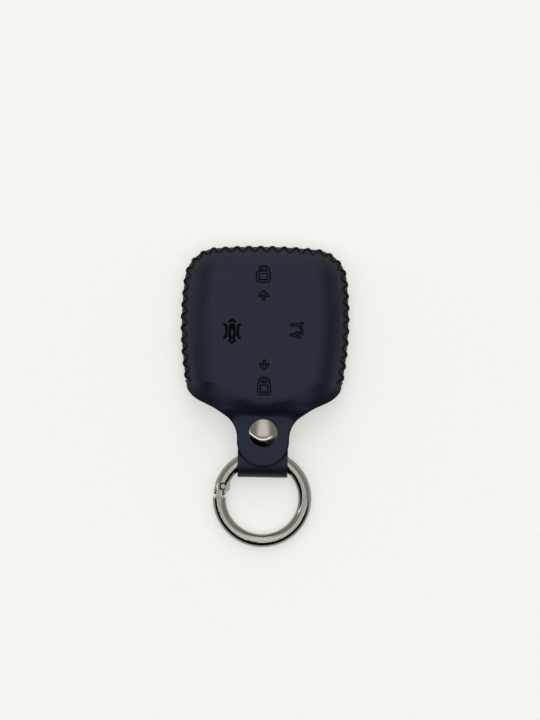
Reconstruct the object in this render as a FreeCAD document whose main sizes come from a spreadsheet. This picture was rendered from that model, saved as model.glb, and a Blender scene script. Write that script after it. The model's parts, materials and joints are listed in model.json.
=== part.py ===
"""Moulded leather key fob cover with a snapped tongue and a spring-gate ring.

The cover lies on its back: +Z is up, +Y runs to the closed end and the ring lies at -Y.
Lengths are millimetres and angles are degrees.
"""
import FreeCAD, Part
import math
import os

import Sketcher

Vector = FreeCAD.Vector
Rotation = FreeCAD.Rotation
Placement = FreeCAD.Placement

# Driving dimensions, one row each.
SIZES = (
    # Leather
    ("leather_thickness", 1.3),
    ("seam_height", 6.2),
    ("front_rise", 9.0),
    ("wall_slope_angle", 60.0),
    ("front_shoulder_radius", 10.0),
    ("back_shoulder_radius", 5.5),
    # Outline of the pocket, at the seam
    ("pocket_half_width", 28.3),
    ("widest_place", 26.0),
    ("pocket_top", 51.6),
    ("top_edge_radius", 200.0),
    ("side_edge_radius", 120.0),
    ("top_corner_radius", 11.5),
    ("bend_place", 5.0),
    ("bend_gap", 0.2),
    ("mouth_gap", 0.3),
    # Neck, tongue and strap
    ("neck_place", -6.7),
    ("flare_place", -14.1),
    ("flare_radius", 9.5),
    ("tongue_half_width", 8.9),
    ("strap_half_width", 8.55),
    ("neck_rise", 0.05),
    ("neck_slope_angle", 3.0),
    ("snap_place", -12.1),
    ("tongue_end", -23.8),
    ("tongue_gap", 0.2),
    ("strap_tip_place", -7.4),
    ("strap_layer_gap", 0.1),
    # Loop of the strap round the ring
    ("fold_end", -27.6),
    ("loop_inner_radius", 3.7),
    ("loop_floor_gap", 0.1),
    ("loop_start_place", -16.0),
    ("pinch_place", -17.0),
    ("pinch_angle", 52.0),
    ("loop_shoulder_radius", 2.6),
    # Stitching
    ("stitch_pitch", 4.0),
    ("stitch_depth", 2.9),
    ("thread_diameter", 0.55),
    ("thread_gap", 0.04),
    # Press stud
    ("cap_radius", 5.0),
    ("cap_height", 2.0),
    ("cap_edge_height", 0.4),
    ("cap_shoulder_inset", 0.3),
    ("cap_shoulder_drop", 1.3),
    ("shank_radius", 1.2),
    ("shank_flare", 0.6),
    ("post_radius", 0.9),
    ("rivet_clearance", 0.05),
    ("leather_hole_clearance", 0.1),
    ("sheet_metal", 0.4),
    ("stud_flange_radius", 3.9),
    ("stud_neck_radius", 1.35),
    ("stud_neck_height", 1.2),
    ("stud_head_radius", 1.7),
    ("stud_head_height", 1.0),
    ("socket_radius", 3.9),
    ("socket_mouth_radius", 2.65),
    ("socket_gap", 0.15),
    ("grip_wire", 0.45),
    ("grip_clearance", 0.05),
    ("grip_reach", 2.2),
    # Spring-gate ring
    ("ring_bore", 25.0),
    ("ring_wire", 4.5),
    ("ring_top_place", -20.3),
    ("swing_place", -21.5),
    ("pivot_angle", 162.3),
    ("pivot_inset", 0.63),
    ("ear_end_angle", 174.4),
    ("gate_start_angle", 179.4),
    ("latch_angle", 265.0),
    ("latch_lap", 2.0),
    ("latch_lap_offset", 0.3),
    ("latch_gap", 0.06),
    ("knuckle_radius", 2.4),
    ("knuckle_height", 3.4),
    ("tab_thickness", 1.8),
    ("tab_radius", 1.75),
    ("tab_width", 2.8),
    ("fork_clearance", 0.05),
    ("fork_end_clearance", 0.15),
    ("pin_radius", 0.65),
    ("pin_clearance", 0.05),
    ("pin_length", 3.9),
    ("pin_recess_radius", 0.8),
    ("pin_recess_spread", 3.1),
    ("heel_height", 1.25),
    ("heel_inset", 0.1),
    ("pusher_offset", 0.75),
    ("pusher_radius", 0.5),
    ("pusher_length", 2.3),
    ("pusher_gap", 0.05),
    ("pusher_clearance", 0.08),
    ("spring_bore_depth", 7.0),
    ("spring_wire", 0.2),
    ("spring_end_gap", 0.05),
    # One overrun serves every cut
    ("cut_overrun", 6.0),
)

# Sections of a skin from the bend to the neck, as shares of the sizes that they run between:
# place along Y, half-width, crown height, rim height and wall slope.
FRONT_END_SHARES = (
    (0.0, 1.0, 1.0, 1.0, 1.0),
    (0.25, 0.946, 0.994, 0.961, 1.0),
    (0.5, 0.731, 0.95, 0.864, 0.9),
    (0.75, 0.31, 0.62, 0.495, 0.66),
    (1.0, 0.0, 0.0, 0.0, 0.0),
)
BACK_END_SHARES = (
    (0.0, 1.0, 1.0, 1.0, 1.0),
    (0.25, 0.946, 0.98, 0.915, 1.0),
    (0.5, 0.731, 0.83, 0.7, 0.86),
    (0.75, 0.31, 0.41, 0.34, 0.6),
    (1.0, 0.0, 0.0, 0.0, 0.0),
)
# Cut of the rim in those sections: 0 along the seam, 1 square to the skin.
RIM_CUT_SHARES = (0.0, 0.1, 0.6, 1.0, 1.0)
# Points nearer than this are the same point.
CLOSE_TO = 1e-6
THREAD_SIDES = 6
THREAD_POINTS = 40
CROSS_SHARE = 0.3
SPRING_TURNS = 5
LATCH_SPAN_ANGLE = 19.5
LATCH_ROOT_ANGLE = 300.0

doc = FreeCAD.newDocument("key_fob_cover")
sheet = doc.addObject("Spreadsheet::Sheet", "Sizes")
sizes = {}
parts = []


def set_size(name, value):
    """Write one named size into the sheet and keep its value."""
    row = len(sizes) + 1
    sheet.set("A%d" % row, name)
    sheet.set("B%d" % row, repr(float(value)))
    sheet.setAlias("B%d" % row, name)
    sizes[name] = float(value)


for size_name, size_value in SIZES:
    set_size(size_name, size_value)


def size(name):
    return sizes[name]


def bind(thing, **expressions):
    """Bind properties of an object to cells of the sheet."""
    for name, expression in expressions.items():
        thing.setExpression(name, expression)


def sine(angle):
    return math.sin(math.radians(angle))


def cosine(angle):
    return math.cos(math.radians(angle))


def tangent(angle):
    return math.tan(math.radians(angle))


# Sizes that follow from the driving ones.
set_size("wall_taper_angle", size("wall_slope_angle") - 90)
set_size("rim_width", size("leather_thickness") / sine(size("wall_slope_angle")))
set_size("front_top", size("seam_height") + size("front_rise"))
set_size("front_core_rise", size("front_rise") - size("leather_thickness"))
set_size("front_core_radius", size("front_shoulder_radius") - size("leather_thickness"))
set_size("back_core_rise", size("seam_height") - size("leather_thickness"))
set_size("back_core_radius", size("back_shoulder_radius") - size("leather_thickness"))
set_size("strap_plane", size("loop_floor_gap") + size("leather_thickness") + size("loop_inner_radius"))
set_size("strap_bottom", size("strap_plane") - size("leather_thickness"))
set_size("fold_bottom", size("strap_plane") + size("strap_layer_gap"))
set_size("fold_top", size("fold_bottom") + size("leather_thickness"))
set_size("loop_top", size("fold_top") + size("loop_inner_radius"))
set_size("tongue_bottom", size("loop_top") + size("tongue_gap"))
set_size("tongue_top", size("tongue_bottom") + size("leather_thickness"))
set_size("strap_width", 2 * size("strap_half_width"))
set_size("cover_skirt", size("front_rise") / tangent(size("wall_slope_angle"))
         + size("front_shoulder_radius") + size("cut_overrun"))
set_size("swing_height", (size("strap_plane") + size("fold_bottom")) / 2)
set_size("wire_radius", size("ring_wire") / 2)
set_size("ring_radius", (size("ring_bore") + size("ring_wire")) / 2)
set_size("pivot_radius", size("ring_radius") - size("pivot_inset"))


# Helpers for bodies and sketches.

def origin_plane(body, role):
    return [item for item in body.Origin.OriginFeatures if item.Role == role][0]


def new_body(label):
    body = doc.addObject("PartDesign::Body", label + "_body")
    body.Label = label
    return body


def new_sketch(body, name, role, offset=0):
    """A sketch on one of the body's own origin planes, moved along the plane's normal."""
    sketch = body.newObject("Sketcher::SketchObject", name)
    sketch.AttachmentSupport = [(origin_plane(body, role), "")]
    sketch.MapMode = "FlatFace"
    sketch.AttachmentOffset = Placement(Vector(0, 0, offset), Rotation())
    return sketch


def bind_offset(sketch, expression):
    sketch.setExpression("AttachmentOffset.Base.z", expression)


def line(a, b):
    return Part.LineSegment(Vector(*a, 0), Vector(*b, 0))


def arc(a, b, centre):
    """The short arc from a to b about a centre, and the lower one of two half circles."""
    a, b, centre = Vector(*a, 0), Vector(*b, 0), Vector(*centre, 0)
    middle = (a + b) / 2 - centre
    if middle.Length < CLOSE_TO:
        middle = Vector(a.y - b.y, b.x - a.x, 0)
    middle.normalize()
    return Part.Arc(a, centre + middle * (a - centre).Length, b)


def add_outline(sketch, edges):
    """Add edges that follow each other round a closed outline and join their ends."""
    first = sketch.GeometryCount
    sketch.addGeometry(edges, False)
    for index in range(len(edges)):
        following = (index + 1) % len(edges)
        sketch.addConstraint(joined_ends(sketch, first + index, first + following))
    return first


def joined_ends(sketch, index, following):
    """Join the two ends that lie together, because a sketch turns every arc anticlockwise."""
    for own in (2, 1):
        for other in (1, 2):
            if (sketch.getPoint(index, own) - sketch.getPoint(following, other)).Length < CLOSE_TO:
                return Sketcher.Constraint("Coincident", index, own, following, other)
    raise ValueError("outline of %s is open at edge %d" % (sketch.Label, index))


def set_radius(sketch, index, expression):
    """Hold an arc or circle at a radius from the sheet."""
    geometry = sketch.Geometry[index]
    number = sketch.addConstraint(Sketcher.Constraint("Radius", index, geometry.Radius))
    sketch.setExpression("Constraints[%d]" % number, expression)


def set_place(sketch, index, which, across=None, along=None):
    """Hold an end of an edge at a distance from the sketch's origin."""
    point = sketch.getPoint(index, which)
    for kind, value, expression in (("DistanceX", point.x, across), ("DistanceY", point.y, along)):
        if expression is not None:
            number = sketch.addConstraint(Sketcher.Constraint(kind, -1, 1, index, which, value))
            sketch.setExpression("Constraints[%d]" % number, expression)


def add_circle(sketch, centre, expression, radius):
    sketch.addGeometry(Part.Circle(Vector(*centre, 0), Vector(0, 0, 1), radius), False)
    set_radius(sketch, sketch.GeometryCount - 1, expression)


def pad(body, name, sketch, length, **settings):
    """A pad whose length and other sizes are expressions."""
    feature = body.newObject("PartDesign::Pad", name)
    feature.Profile = sketch
    feature.Reversed = settings.pop("reverse", False)
    if settings.pop("both_ways", False):
        feature.SideType = "Symmetric"
    bind(feature, Length=length, **settings)
    doc.recompute()
    return feature


def revolve(body, name, sketch):
    feature = body.newObject("PartDesign::Revolution", name)
    feature.Profile = sketch
    feature.ReferenceAxis = (sketch, ["V_Axis"])
    feature.Angle = 360
    doc.recompute()
    return feature


def round_face(body, name, base, height, radius):
    """Round the edges of the flat face that lies at a height."""
    def lies_there(face):
        box = face.BoundBox
        return box.ZLength < CLOSE_TO and abs(box.ZMin - height) < CLOSE_TO

    face = [item for item in base.Shape.Faces if lies_there(item)][0]
    edges = base.Shape.Edges
    names = ["Edge%d" % (number + 1) for number, edge in enumerate(edges)
             if any(edge.isSame(own) for own in face.Edges)]
    feature = body.newObject("PartDesign::Fillet", name)
    feature.Base = (base, names)
    bind(feature, Radius=radius)
    doc.recompute()
    return feature


# Helpers for primitives and booleans.

def boolean(kind, label, *pieces):
    """Cut, common or fused result of pieces that are used up by it."""
    if kind == "Fuse":
        result = doc.addObject("Part::MultiFuse", label + "_fuse")
        result.Shapes = list(pieces)
    elif kind == "Common":
        result = doc.addObject("Part::MultiCommon", label + "_common")
        result.Shapes = list(pieces)
    else:
        base, tool = pieces[0], pieces[1]
        if len(pieces) > 2:
            tool = boolean("Fuse", label + "_tools", *pieces[1:])
        result = doc.addObject("Part::Cut", label + "_cut")
        result.Base = base
        result.Tool = tool
    result.Label = label
    doc.recompute()
    return result


def cylinder(label, at, radius, height):
    """An upright cylinder with its middle at a place."""
    item = doc.addObject("Part::Cylinder", label)
    bind(item, Radius=radius, Height=height)
    doc.recompute()
    item.Placement = Placement(at - Vector(0, 0, item.Height.Value / 2), Rotation())
    return item


def block(label, corner, length, width, height, turn=None):
    """A box from one corner, turned about that corner."""
    item = doc.addObject("Part::Box", label)
    bind(item, Length=length, Width=width, Height=height)
    item.Placement = Placement(corner, turn or Rotation())
    doc.recompute()
    return item


def ring_arc(label, start, span):
    """A stretch of the ring's wire, with its angles about the ring's middle."""
    item = doc.addObject("Part::Torus", label)
    bind(item, Radius1="Sizes.ring_radius", Radius2="Sizes.wire_radius")
    item.Angle3 = span
    item.Placement = Placement(Vector(), Rotation(Vector(0, 0, 1), start))
    doc.recompute()
    return item


def finish(thing, label, placement=None):
    """Name a finished sub-part and put it in its place."""
    thing.Label = label
    if placement is not None:
        thing.Placement = placement
    parts.append(thing)


# Outline of the pocket at the seam: a crowned top edge, two corners and two bowed sides.

def far_point(centre, through, radius):
    """The point at a radius from a centre, on the line through another point."""
    direction = through - centre
    return centre + direction * (radius / direction.Length)


def outline_places(inset, low):
    """Centres and joints of the right half of the outline, moved inwards by an inset."""
    top_radius, side_radius = size("top_edge_radius"), size("side_edge_radius")
    corner_radius = size("top_corner_radius")
    top_centre = Vector(0, size("pocket_top") - top_radius, 0)
    side_centre = Vector(size("pocket_half_width") - side_radius, size("widest_place"), 0)
    reach_top, reach_side = top_radius - corner_radius, side_radius - corner_radius
    apart = side_centre - top_centre
    along = (reach_top ** 2 - reach_side ** 2 + apart.Length ** 2) / (2 * apart.Length)
    across = math.sqrt(reach_top ** 2 - along ** 2)
    square = Vector(apart.y, -apart.x, 0)
    corner_centre = top_centre + (apart * along + square * across) / apart.Length
    low_reach = math.sqrt((side_radius - inset) ** 2 - (low - side_centre.y) ** 2)
    return {
        "top_centre": top_centre,
        "corner_centre": corner_centre,
        "side_centre": side_centre,
        "top_joint": far_point(top_centre, corner_centre, top_radius - inset),
        "side_joint": far_point(side_centre, corner_centre, side_radius - inset),
        "low_end": Vector(side_centre.x + low_reach, low, 0),
    }


def flat(point, mirrored=False):
    return (-point.x if mirrored else point.x, point.y)


def outline_arcs(inset, low):
    """Arcs of the open outline, from the low end on the right round to the one on the left."""
    place = outline_places(inset, low)
    right = (("low_end", "side_joint", "side_centre"), ("side_joint", "top_joint", "corner_centre"))
    edges = [arc(*(flat(place[name]) for name in names)) for names in right]
    edges.append(arc(flat(place["top_joint"]), flat(place["top_joint"], True), flat(place["top_centre"])))
    for start, stop, centre in reversed(right):
        edges.append(arc(flat(place[stop], True), flat(place[start], True), flat(place[centre], True)))
    return edges, place


def pocket_form(label, inset, reverse, rise, radius, height):
    """A domed form on the seam plane, open to nothing, with rounded shoulders."""
    low = size("bend_place") - size("cover_skirt") + inset
    body = new_body(label)
    sketch = new_sketch(body, label + "_outline", "XY_Plane", size("seam_height"))
    bind_offset(sketch, "Sizes.seam_height")
    edges, place = outline_arcs(inset, low)
    edges.append(line(flat(place["low_end"], True), flat(place["low_end"])))
    first = add_outline(sketch, edges)
    shrink = " - Sizes.rim_width" if inset else ""
    for number, name in enumerate(("side_edge", "top_corner", "top_edge", "top_corner", "side_edge")):
        set_radius(sketch, first + number, "Sizes.%s_radius%s" % (name, shrink))
    dome = pad(body, label + "_pad", sketch, rise, reverse=reverse, TaperAngle="Sizes.wall_taper_angle")
    round_face(body, label + "_shoulder", dome, height, radius)
    return body


def pocket_skin(label, reverse, side):
    """The moulded skin of one side, down to the bend."""
    up = -1 if reverse else 1
    outer_height = size("seam_height") + up * size("%s_rise" % side)
    inner_height = size("seam_height") + up * size("%s_core_rise" % side)
    form = pocket_form(label + "_form", 0, reverse, "Sizes.%s_rise" % side,
                       "Sizes.%s_shoulder_radius" % side, outer_height)
    core = pocket_form(label + "_core", size("rim_width"), reverse, "Sizes.%s_core_rise" % side,
                       "Sizes.%s_core_radius" % side, inner_height)
    over = size("cut_overrun")
    corner = Vector(-size("pocket_half_width") - over, size("bend_place") - size("below_bend"), -over)
    below = block(label + "_below", corner, "2 * (Sizes.pocket_half_width + Sizes.cut_overrun)",
                  "Sizes.below_bend", "Sizes.front_top + 2 * Sizes.cut_overrun")
    return boolean("Cut", label, form, core, below)


set_size("back_rise", size("seam_height"))
set_size("below_bend", size("cover_skirt") + size("cut_overrun"))
set_size("bend_half_width", outline_places(0, size("bend_place"))["low_end"].x)
flare_drop = size("neck_place") - size("flare_place")
flare_width = size("flare_radius") - math.sqrt(size("flare_radius") ** 2 - flare_drop ** 2)
set_size("front_neck_width", size("tongue_half_width") + flare_width)
set_size("back_neck_width", size("strap_half_width") + flare_width)


# Lower end of a skin: arched sections from the bend to the neck.

def arch_outline(width, rim, crown, slope, shoulder_share, cut_share):
    """Edges of one arched section across the skin, all the way round."""
    up = 1 if crown > rim else -1
    rise = abs(crown - rim)
    slant = rise / sine(slope)
    run_out = shoulder_share * slant
    radius = run_out / tangent(slope / 2)
    thickness = size("leather_thickness")
    normal = (sine(slope), up * cosine(slope))
    crown_start = width - rise / tangent(slope) - run_out
    centre = (crown_start, crown - up * radius)

    def skin(reach):
        shoulder = (centre[0] + reach * normal[0], centre[1] + reach * normal[1])
        return shoulder, (crown_start, centre[1] + up * reach)

    outer_shoulder, outer_crown = skin(radius)
    inner_shoulder, inner_crown = skin(radius - thickness)
    square_cut = (width - thickness * normal[0], rim - thickness * normal[1])
    level_cut = (width - thickness / sine(slope), rim)
    inner_rim = tuple(square + (1 - cut_share) * (level - square)
                      for square, level in zip(square_cut, level_cut))
    outer_rim = (width, rim)

    def mirror(point):
        return (-point[0], point[1])

    def half_way(rim_end, shoulder, top):
        return [line(rim_end, shoulder), arc(shoulder, top, centre), line(top, mirror(top)),
                arc(mirror(top), mirror(shoulder), mirror(centre)), line(mirror(shoulder), mirror(rim_end))]

    outer = half_way(outer_rim, outer_shoulder, outer_crown)
    inner = half_way(inner_rim, inner_shoulder, inner_crown)
    edges = outer + [line(mirror(outer_rim), mirror(inner_rim))]
    edges += [reverse_edge(edge, centre, mirror(centre)) for edge in reversed(inner)]
    edges.append(line(inner_rim, outer_rim))
    return edges


def reverse_edge(edge, centre, other_centre):
    """The same edge drawn from its other end."""
    a, b = edge.EndPoint, edge.StartPoint
    if isinstance(edge, Part.LineSegment):
        return line((a.x, a.y), (b.x, b.y))
    nearest = centre if (a.x > 0) else other_centre
    return arc((a.x, a.y), (b.x, b.y), nearest)


def lower_end(body, side, start, rims, crowns, table):
    """Loft the skin from the bend to the neck, between two rim heights and two crown heights."""
    sections = []
    neck_width = size(side + "_neck_width")
    shoulder_share = shoulder_share_of(side)
    for number, (place, width, crown, rim, slope) in enumerate(table):
        prefix = "%s_section_%s" % (side, "abcdefgh"[number])
        set_size(prefix + "_place", start + place * (size("neck_place") - start))
        set_size(prefix + "_width", neck_width + width * (size("bend_half_width") - neck_width))
        set_size(prefix + "_crown", crowns[1] + crown * (crowns[0] - crowns[1]))
        set_size(prefix + "_rim", rims[1] + rim * (rims[0] - rims[1]))
        angle = size("neck_slope_angle") + slope * (size("wall_slope_angle") - size("neck_slope_angle"))
        sketch = new_sketch(body, prefix, "XZ_Plane", -size(prefix + "_place"))
        bind_offset(sketch, "-Sizes.%s_place" % prefix)
        edges = arch_outline(size(prefix + "_width"), size(prefix + "_rim"), size(prefix + "_crown"),
                             angle, shoulder_share, RIM_CUT_SHARES[number])
        first = add_outline(sketch, edges)
        set_place(sketch, first, 1, "Sizes.%s_width" % prefix, "Sizes.%s_rim" % prefix)
        set_place(sketch, first + 2, 1, None, "Sizes.%s_crown" % prefix)
        sections.append(sketch)
    loft = body.newObject("PartDesign::AdditiveLoft", side + "_end_loft")
    loft.Profile = sections[0]
    loft.Sections = sections[1:]
    doc.recompute()
    return loft


def shoulder_share_of(side):
    """Share of the wall's slant that the rounded shoulder takes at the bend."""
    slant = size("%s_rise" % side) / sine(size("wall_slope_angle"))
    return size("%s_shoulder_radius" % side) * tangent(size("wall_slope_angle") / 2) / slant


def strap_outline(sketch, half_width, end, round_end):
    """Plan of the tongue or strap from the neck to its end."""
    neck = (half_width + flare_width, size("neck_place"))
    flare = (half_width, size("flare_place"))
    flare_centre = (half_width + size("flare_radius"), size("flare_place"))
    side_end = (half_width, end + (half_width if round_end else 0))

    def mirror(point):
        return (-point[0], point[1])

    edges = [arc(neck, flare, flare_centre), line(flare, side_end)]
    if round_end:
        edges.append(arc(side_end, mirror(side_end), (0, side_end[1])))
    else:
        edges.append(line(side_end, mirror(side_end)))
    edges += [line(mirror(side_end), mirror(flare)), arc(mirror(flare), mirror(neck), mirror(flare_centre)),
              line(mirror(neck), neck)]
    first = add_outline(sketch, edges)
    set_radius(sketch, first, "Sizes.flare_radius")
    set_radius(sketch, first + 4, "Sizes.flare_radius")
    return first


# Front skin: the stitched panel, and the flap with its tongue.

def make_front_panel():
    finish(pocket_skin("front_panel", False, "front"), "front_panel")


def make_front_flap():
    body = new_body("front_flap")
    start = size("bend_place") - size("bend_gap")
    rims = (size("seam_height") + size("mouth_gap"), size("tongue_top") - size("neck_rise"))
    lower_end(body, "front", start, rims, (size("front_top"), size("tongue_top")), FRONT_END_SHARES)
    sketch = new_sketch(body, "tongue_plan", "XY_Plane", size("tongue_bottom"))
    bind_offset(sketch, "Sizes.tongue_bottom")
    strap_outline(sketch, size("tongue_half_width"), size("tongue_end"), True)
    add_circle(sketch, (0, size("snap_place")), "Sizes.shank_radius + Sizes.leather_hole_clearance",
               size("shank_radius") + size("leather_hole_clearance"))
    pad(body, "tongue", sketch, "Sizes.leather_thickness")
    finish(body, "front_flap")


# Back skin: the dish and its strap, and the strap's loop round the ring.

def make_back_panel():
    dish = pocket_skin("back_dish", True, "back")
    body = new_body("back_end")
    rims = (size("seam_height"), size("strap_bottom") + size("neck_rise"))
    lower_end(body, "back", size("bend_place"), rims, (0, size("strap_bottom")), BACK_END_SHARES)
    sketch = new_sketch(body, "strap_plan", "XY_Plane", size("strap_bottom"))
    bind_offset(sketch, "Sizes.strap_bottom")
    strap_outline(sketch, size("strap_half_width"), size("loop_start_place"), False)
    add_circle(sketch, (0, size("snap_place")), "Sizes.post_radius + Sizes.leather_hole_clearance",
               size("post_radius") + size("leather_hole_clearance"))
    pad(body, "strap", sketch, "Sizes.leather_thickness")
    finish(boolean("Fuse", "back_panel", dish, body), "back_panel")


def loop_side(start, flat_height, up, reach):
    """Points of one skin of the loop, from the strap to the fold, at a reach from the inner skin."""
    slope = size("pinch_angle")
    mitre = reach * tangent(slope / 2)
    corner = (size("pinch_place") + mitre, flat_height + up * reach)
    centre_height = flat_height + up * (size("loop_inner_radius") - size("loop_shoulder_radius"))
    run = size("loop_inner_radius") / tangent(slope) + size("loop_shoulder_radius") * tangent(slope / 2)
    centre = (size("pinch_place") - run, centre_height)
    radius = size("loop_shoulder_radius") + reach
    shoulder = (centre[0] + radius * sine(slope), centre[1] + up * radius * cosine(slope))
    crown = (centre[0], centre[1] + up * radius)
    fold = (size("fold_end") + size("leather_thickness") + size("loop_inner_radius"), crown[1])
    return [(start, corner[1]), corner, shoulder, crown, fold], centre


def make_ring_loop():
    body = new_body("loop_band")
    sketch = new_sketch(body, "loop_profile", "YZ_Plane")
    thickness = size("leather_thickness")
    tip, root = size("strap_tip_place"), size("loop_start_place")
    low, high = size("strap_plane"), size("fold_bottom")
    top_outer, top_centre = loop_side(tip, high, 1, thickness)
    top_inner, top_centre = loop_side(tip, high, 1, 0)
    low_inner, low_centre = loop_side(root, low, -1, 0)
    low_outer, low_centre = loop_side(root, low, -1, thickness)
    fold_centre = (top_outer[4][0], size("swing_height"))

    def down_the_side(points, centre):
        start, corner, shoulder, crown, fold = points
        return [line(start, corner), line(corner, shoulder), arc(shoulder, crown, centre), line(crown, fold)]

    def up_the_side(points, centre):
        start, corner, shoulder, crown, fold = points
        return [line(fold, crown), arc(crown, shoulder, centre), line(shoulder, corner), line(corner, start)]

    def fold(start, stop):
        reach = abs(start[1] - fold_centre[1])
        middle = Vector(fold_centre[0] - reach, fold_centre[1], 0)
        return [Part.Arc(Vector(*start, 0), middle, Vector(*stop, 0))]

    edges = down_the_side(top_outer, top_centre) + fold(top_outer[4], low_outer[4])
    edges += up_the_side(low_outer, low_centre) + [line(low_outer[0], low_inner[0])]
    edges += down_the_side(low_inner, low_centre) + fold(low_inner[4], top_inner[4])
    edges += up_the_side(top_inner, top_centre) + [line(top_inner[0], top_outer[0])]
    first = add_outline(sketch, edges)
    set_radius(sketch, first + 2, "Sizes.loop_shoulder_radius + Sizes.leather_thickness")
    pad(body, "loop", sketch, "Sizes.strap_width", both_ways=True)
    hole = cylinder("strap_tip_hole", Vector(0, size("snap_place"), size("fold_bottom")),
                    "Sizes.post_radius + Sizes.leather_hole_clearance", "2 * Sizes.loop_inner_radius")
    finish(boolean("Cut", "ring_loop", body, hole), "ring_loop")


# Stitching: crossed legs over the seam, from the front skin to the back skin.

def thread_leg(places, radius):
    """One leg of thread through some places, as a bar with mitred bends."""
    rings = []
    steps = [(after - before).normalize() for before, after in zip(places, places[1:])]
    for number, centre in enumerate(places):
        heading = steps[max(number - 1, 0)] + steps[min(number, len(steps) - 1)]
        side = heading.cross(Vector(0, 0, 1)).normalize()
        rise = side.cross(heading).normalize()
        corners = []
        for corner in range(THREAD_SIDES):
            angle = 360 * corner / THREAD_SIDES
            corners.append(centre + side * (radius * cosine(angle)) + rise * (radius * sine(angle)))
        rings.append(Part.makePolygon(corners + corners[:1]))
    return Part.makeLoft(rings, True, True)


def make_edge_thread():
    """Two legs a stitch: they pass side by side over the edge and cross on the back skin."""
    edges = outline_arcs(0, size("bend_place"))[0]
    seam = Part.Wire([edge.toShape() for edge in edges])
    count = round(seam.Length / size("stitch_pitch"))
    step = seam.Length / count
    radius = size("thread_diameter") / 2
    lift = radius + size("thread_gap")
    spread = size("thread_diameter") + 2 * size("thread_gap")
    slope = size("wall_slope_angle")
    fine = seam.discretize(Number=THREAD_POINTS * count + 1)

    def seam_place(distance):
        """Point of the seam at a distance along it, with the directions along and outwards."""
        share = distance / step * THREAD_POINTS
        number = min(max(int(share), 0), len(fine) - 2)
        along = (fine[number + 1] - fine[number]).normalize()
        point = fine[number] + (fine[number + 1] - fine[number]) * (share - number)
        return point, along, Vector(along.y, -along.x, 0)

    def on_wall(distance, depth, up, height):
        """A place on a skin, up its wall from the seam and at a height off it."""
        point, along, outward = seam_place(distance)
        inward = depth * cosine(slope) - height * sine(slope)
        rise = depth * sine(slope) + height * cosine(slope)
        return point - outward * inward + Vector(0, 0, size("seam_height") + up * rise)

    def over_edge(distance):
        point, along, outward = seam_place(distance)
        return point + outward * (lift / sine(slope)) + Vector(0, 0, size("seam_height"))

    legs = []
    depth = size("stitch_depth")
    for stitch in range(count):
        start, stop = stitch * step + spread / 2, (stitch + 1) * step - spread / 2
        middle = (start + stop) / 2
        under = (on_wall(start, depth, 1, lift), over_edge(middle - spread / 2),
                 on_wall(stop, depth, -1, lift))
        cross = on_wall(middle, depth * CROSS_SHARE, -1, lift + spread)
        over = (on_wall(stop, depth, 1, lift), over_edge(middle + spread / 2), cross,
                on_wall(start, depth, -1, lift))
        legs.append(thread_leg(under, radius))
        legs.append(thread_leg(over, radius))
    thread = doc.addObject("Part::Feature", "edge_thread")
    thread.Shape = Part.makeCompound(legs)
    finish(thread, "edge_thread")


# Press stud: cap and socket on the tongue, stud and post on the strap.

def turned_part(label, edges):
    """A piece turned about the press stud's axis from half of its section."""
    body = new_body(label)
    sketch = new_sketch(body, label + "_section", "XZ_Plane", -size("snap_place"))
    bind_offset(sketch, "-Sizes.snap_place")
    add_outline(sketch, edges)
    revolve(body, label + "_turn", sketch)
    finish(body, label)


def polyline(points):
    return [line(a, b) for a, b in zip(points, points[1:] + points[:1])]


def make_snap_cap():
    base, sheet_metal = size("tongue_top"), size("sheet_metal")
    radius, shank = size("cap_radius"), size("shank_radius")
    crown = base + size("cap_height")
    edge = (radius, base + size("cap_edge_height"))
    shoulder = (radius - size("cap_shoulder_inset"), crown - size("cap_shoulder_drop"))
    top_radius = (shoulder[0] ** 2 + size("cap_shoulder_drop") ** 2) / (2 * size("cap_shoulder_drop"))
    seat = size("tongue_bottom") - sheet_metal
    foot = seat - sheet_metal / 2
    hollow_height = crown - size("cap_shoulder_drop") - sheet_metal
    points = [shoulder, edge, (radius - sheet_metal / 2, base), (radius - 2 * sheet_metal, base),
              (radius - 2 * sheet_metal, hollow_height), (shank, hollow_height), (shank, seat),
              (shank + size("shank_flare"), seat), (shank + size("shank_flare"), foot), (0, foot), (0, crown)]
    edges = polyline(points)[:-1]
    edges.append(arc((0, crown), shoulder, (0, crown - top_radius)))
    turned_part("snap_cap", edges)


def make_snap_socket():
    top, sheet_metal = size("tongue_bottom"), size("sheet_metal")
    bottom = size("fold_top") + sheet_metal + size("socket_gap")
    radius, mouth = size("socket_radius"), size("socket_mouth_radius")
    hole = size("shank_radius") + size("rivet_clearance")
    wall = radius - sheet_metal
    turned_part("snap_socket", polyline([
        (hole, top), (radius, top), (radius, bottom), (mouth, bottom), (mouth, bottom + sheet_metal),
        (wall, bottom + sheet_metal), (wall, top - sheet_metal), (hole, top - sheet_metal)]))


def make_snap_stud():
    seat, sheet_metal = size("fold_top"), size("sheet_metal")
    flange_top = seat + sheet_metal
    neck, head = size("stud_neck_radius"), size("stud_head_radius")
    neck_top = flange_top + size("stud_neck_height")
    head_top = neck_top + size("stud_head_height")
    bore = size("post_radius") + size("rivet_clearance")
    head_low = neck_top + head - neck
    dome_radius = head - sheet_metal
    points = [(bore, seat), (size("stud_flange_radius"), seat), (size("stud_flange_radius"), flange_top),
              (neck, flange_top), (neck, neck_top), (head, head_low), (head, head_top - sheet_metal),
              (dome_radius, head_top), (0, head_top), (0, head_top - sheet_metal),
              (bore, head_top - sheet_metal)]
    turned_part("snap_stud", polyline(points))


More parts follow.
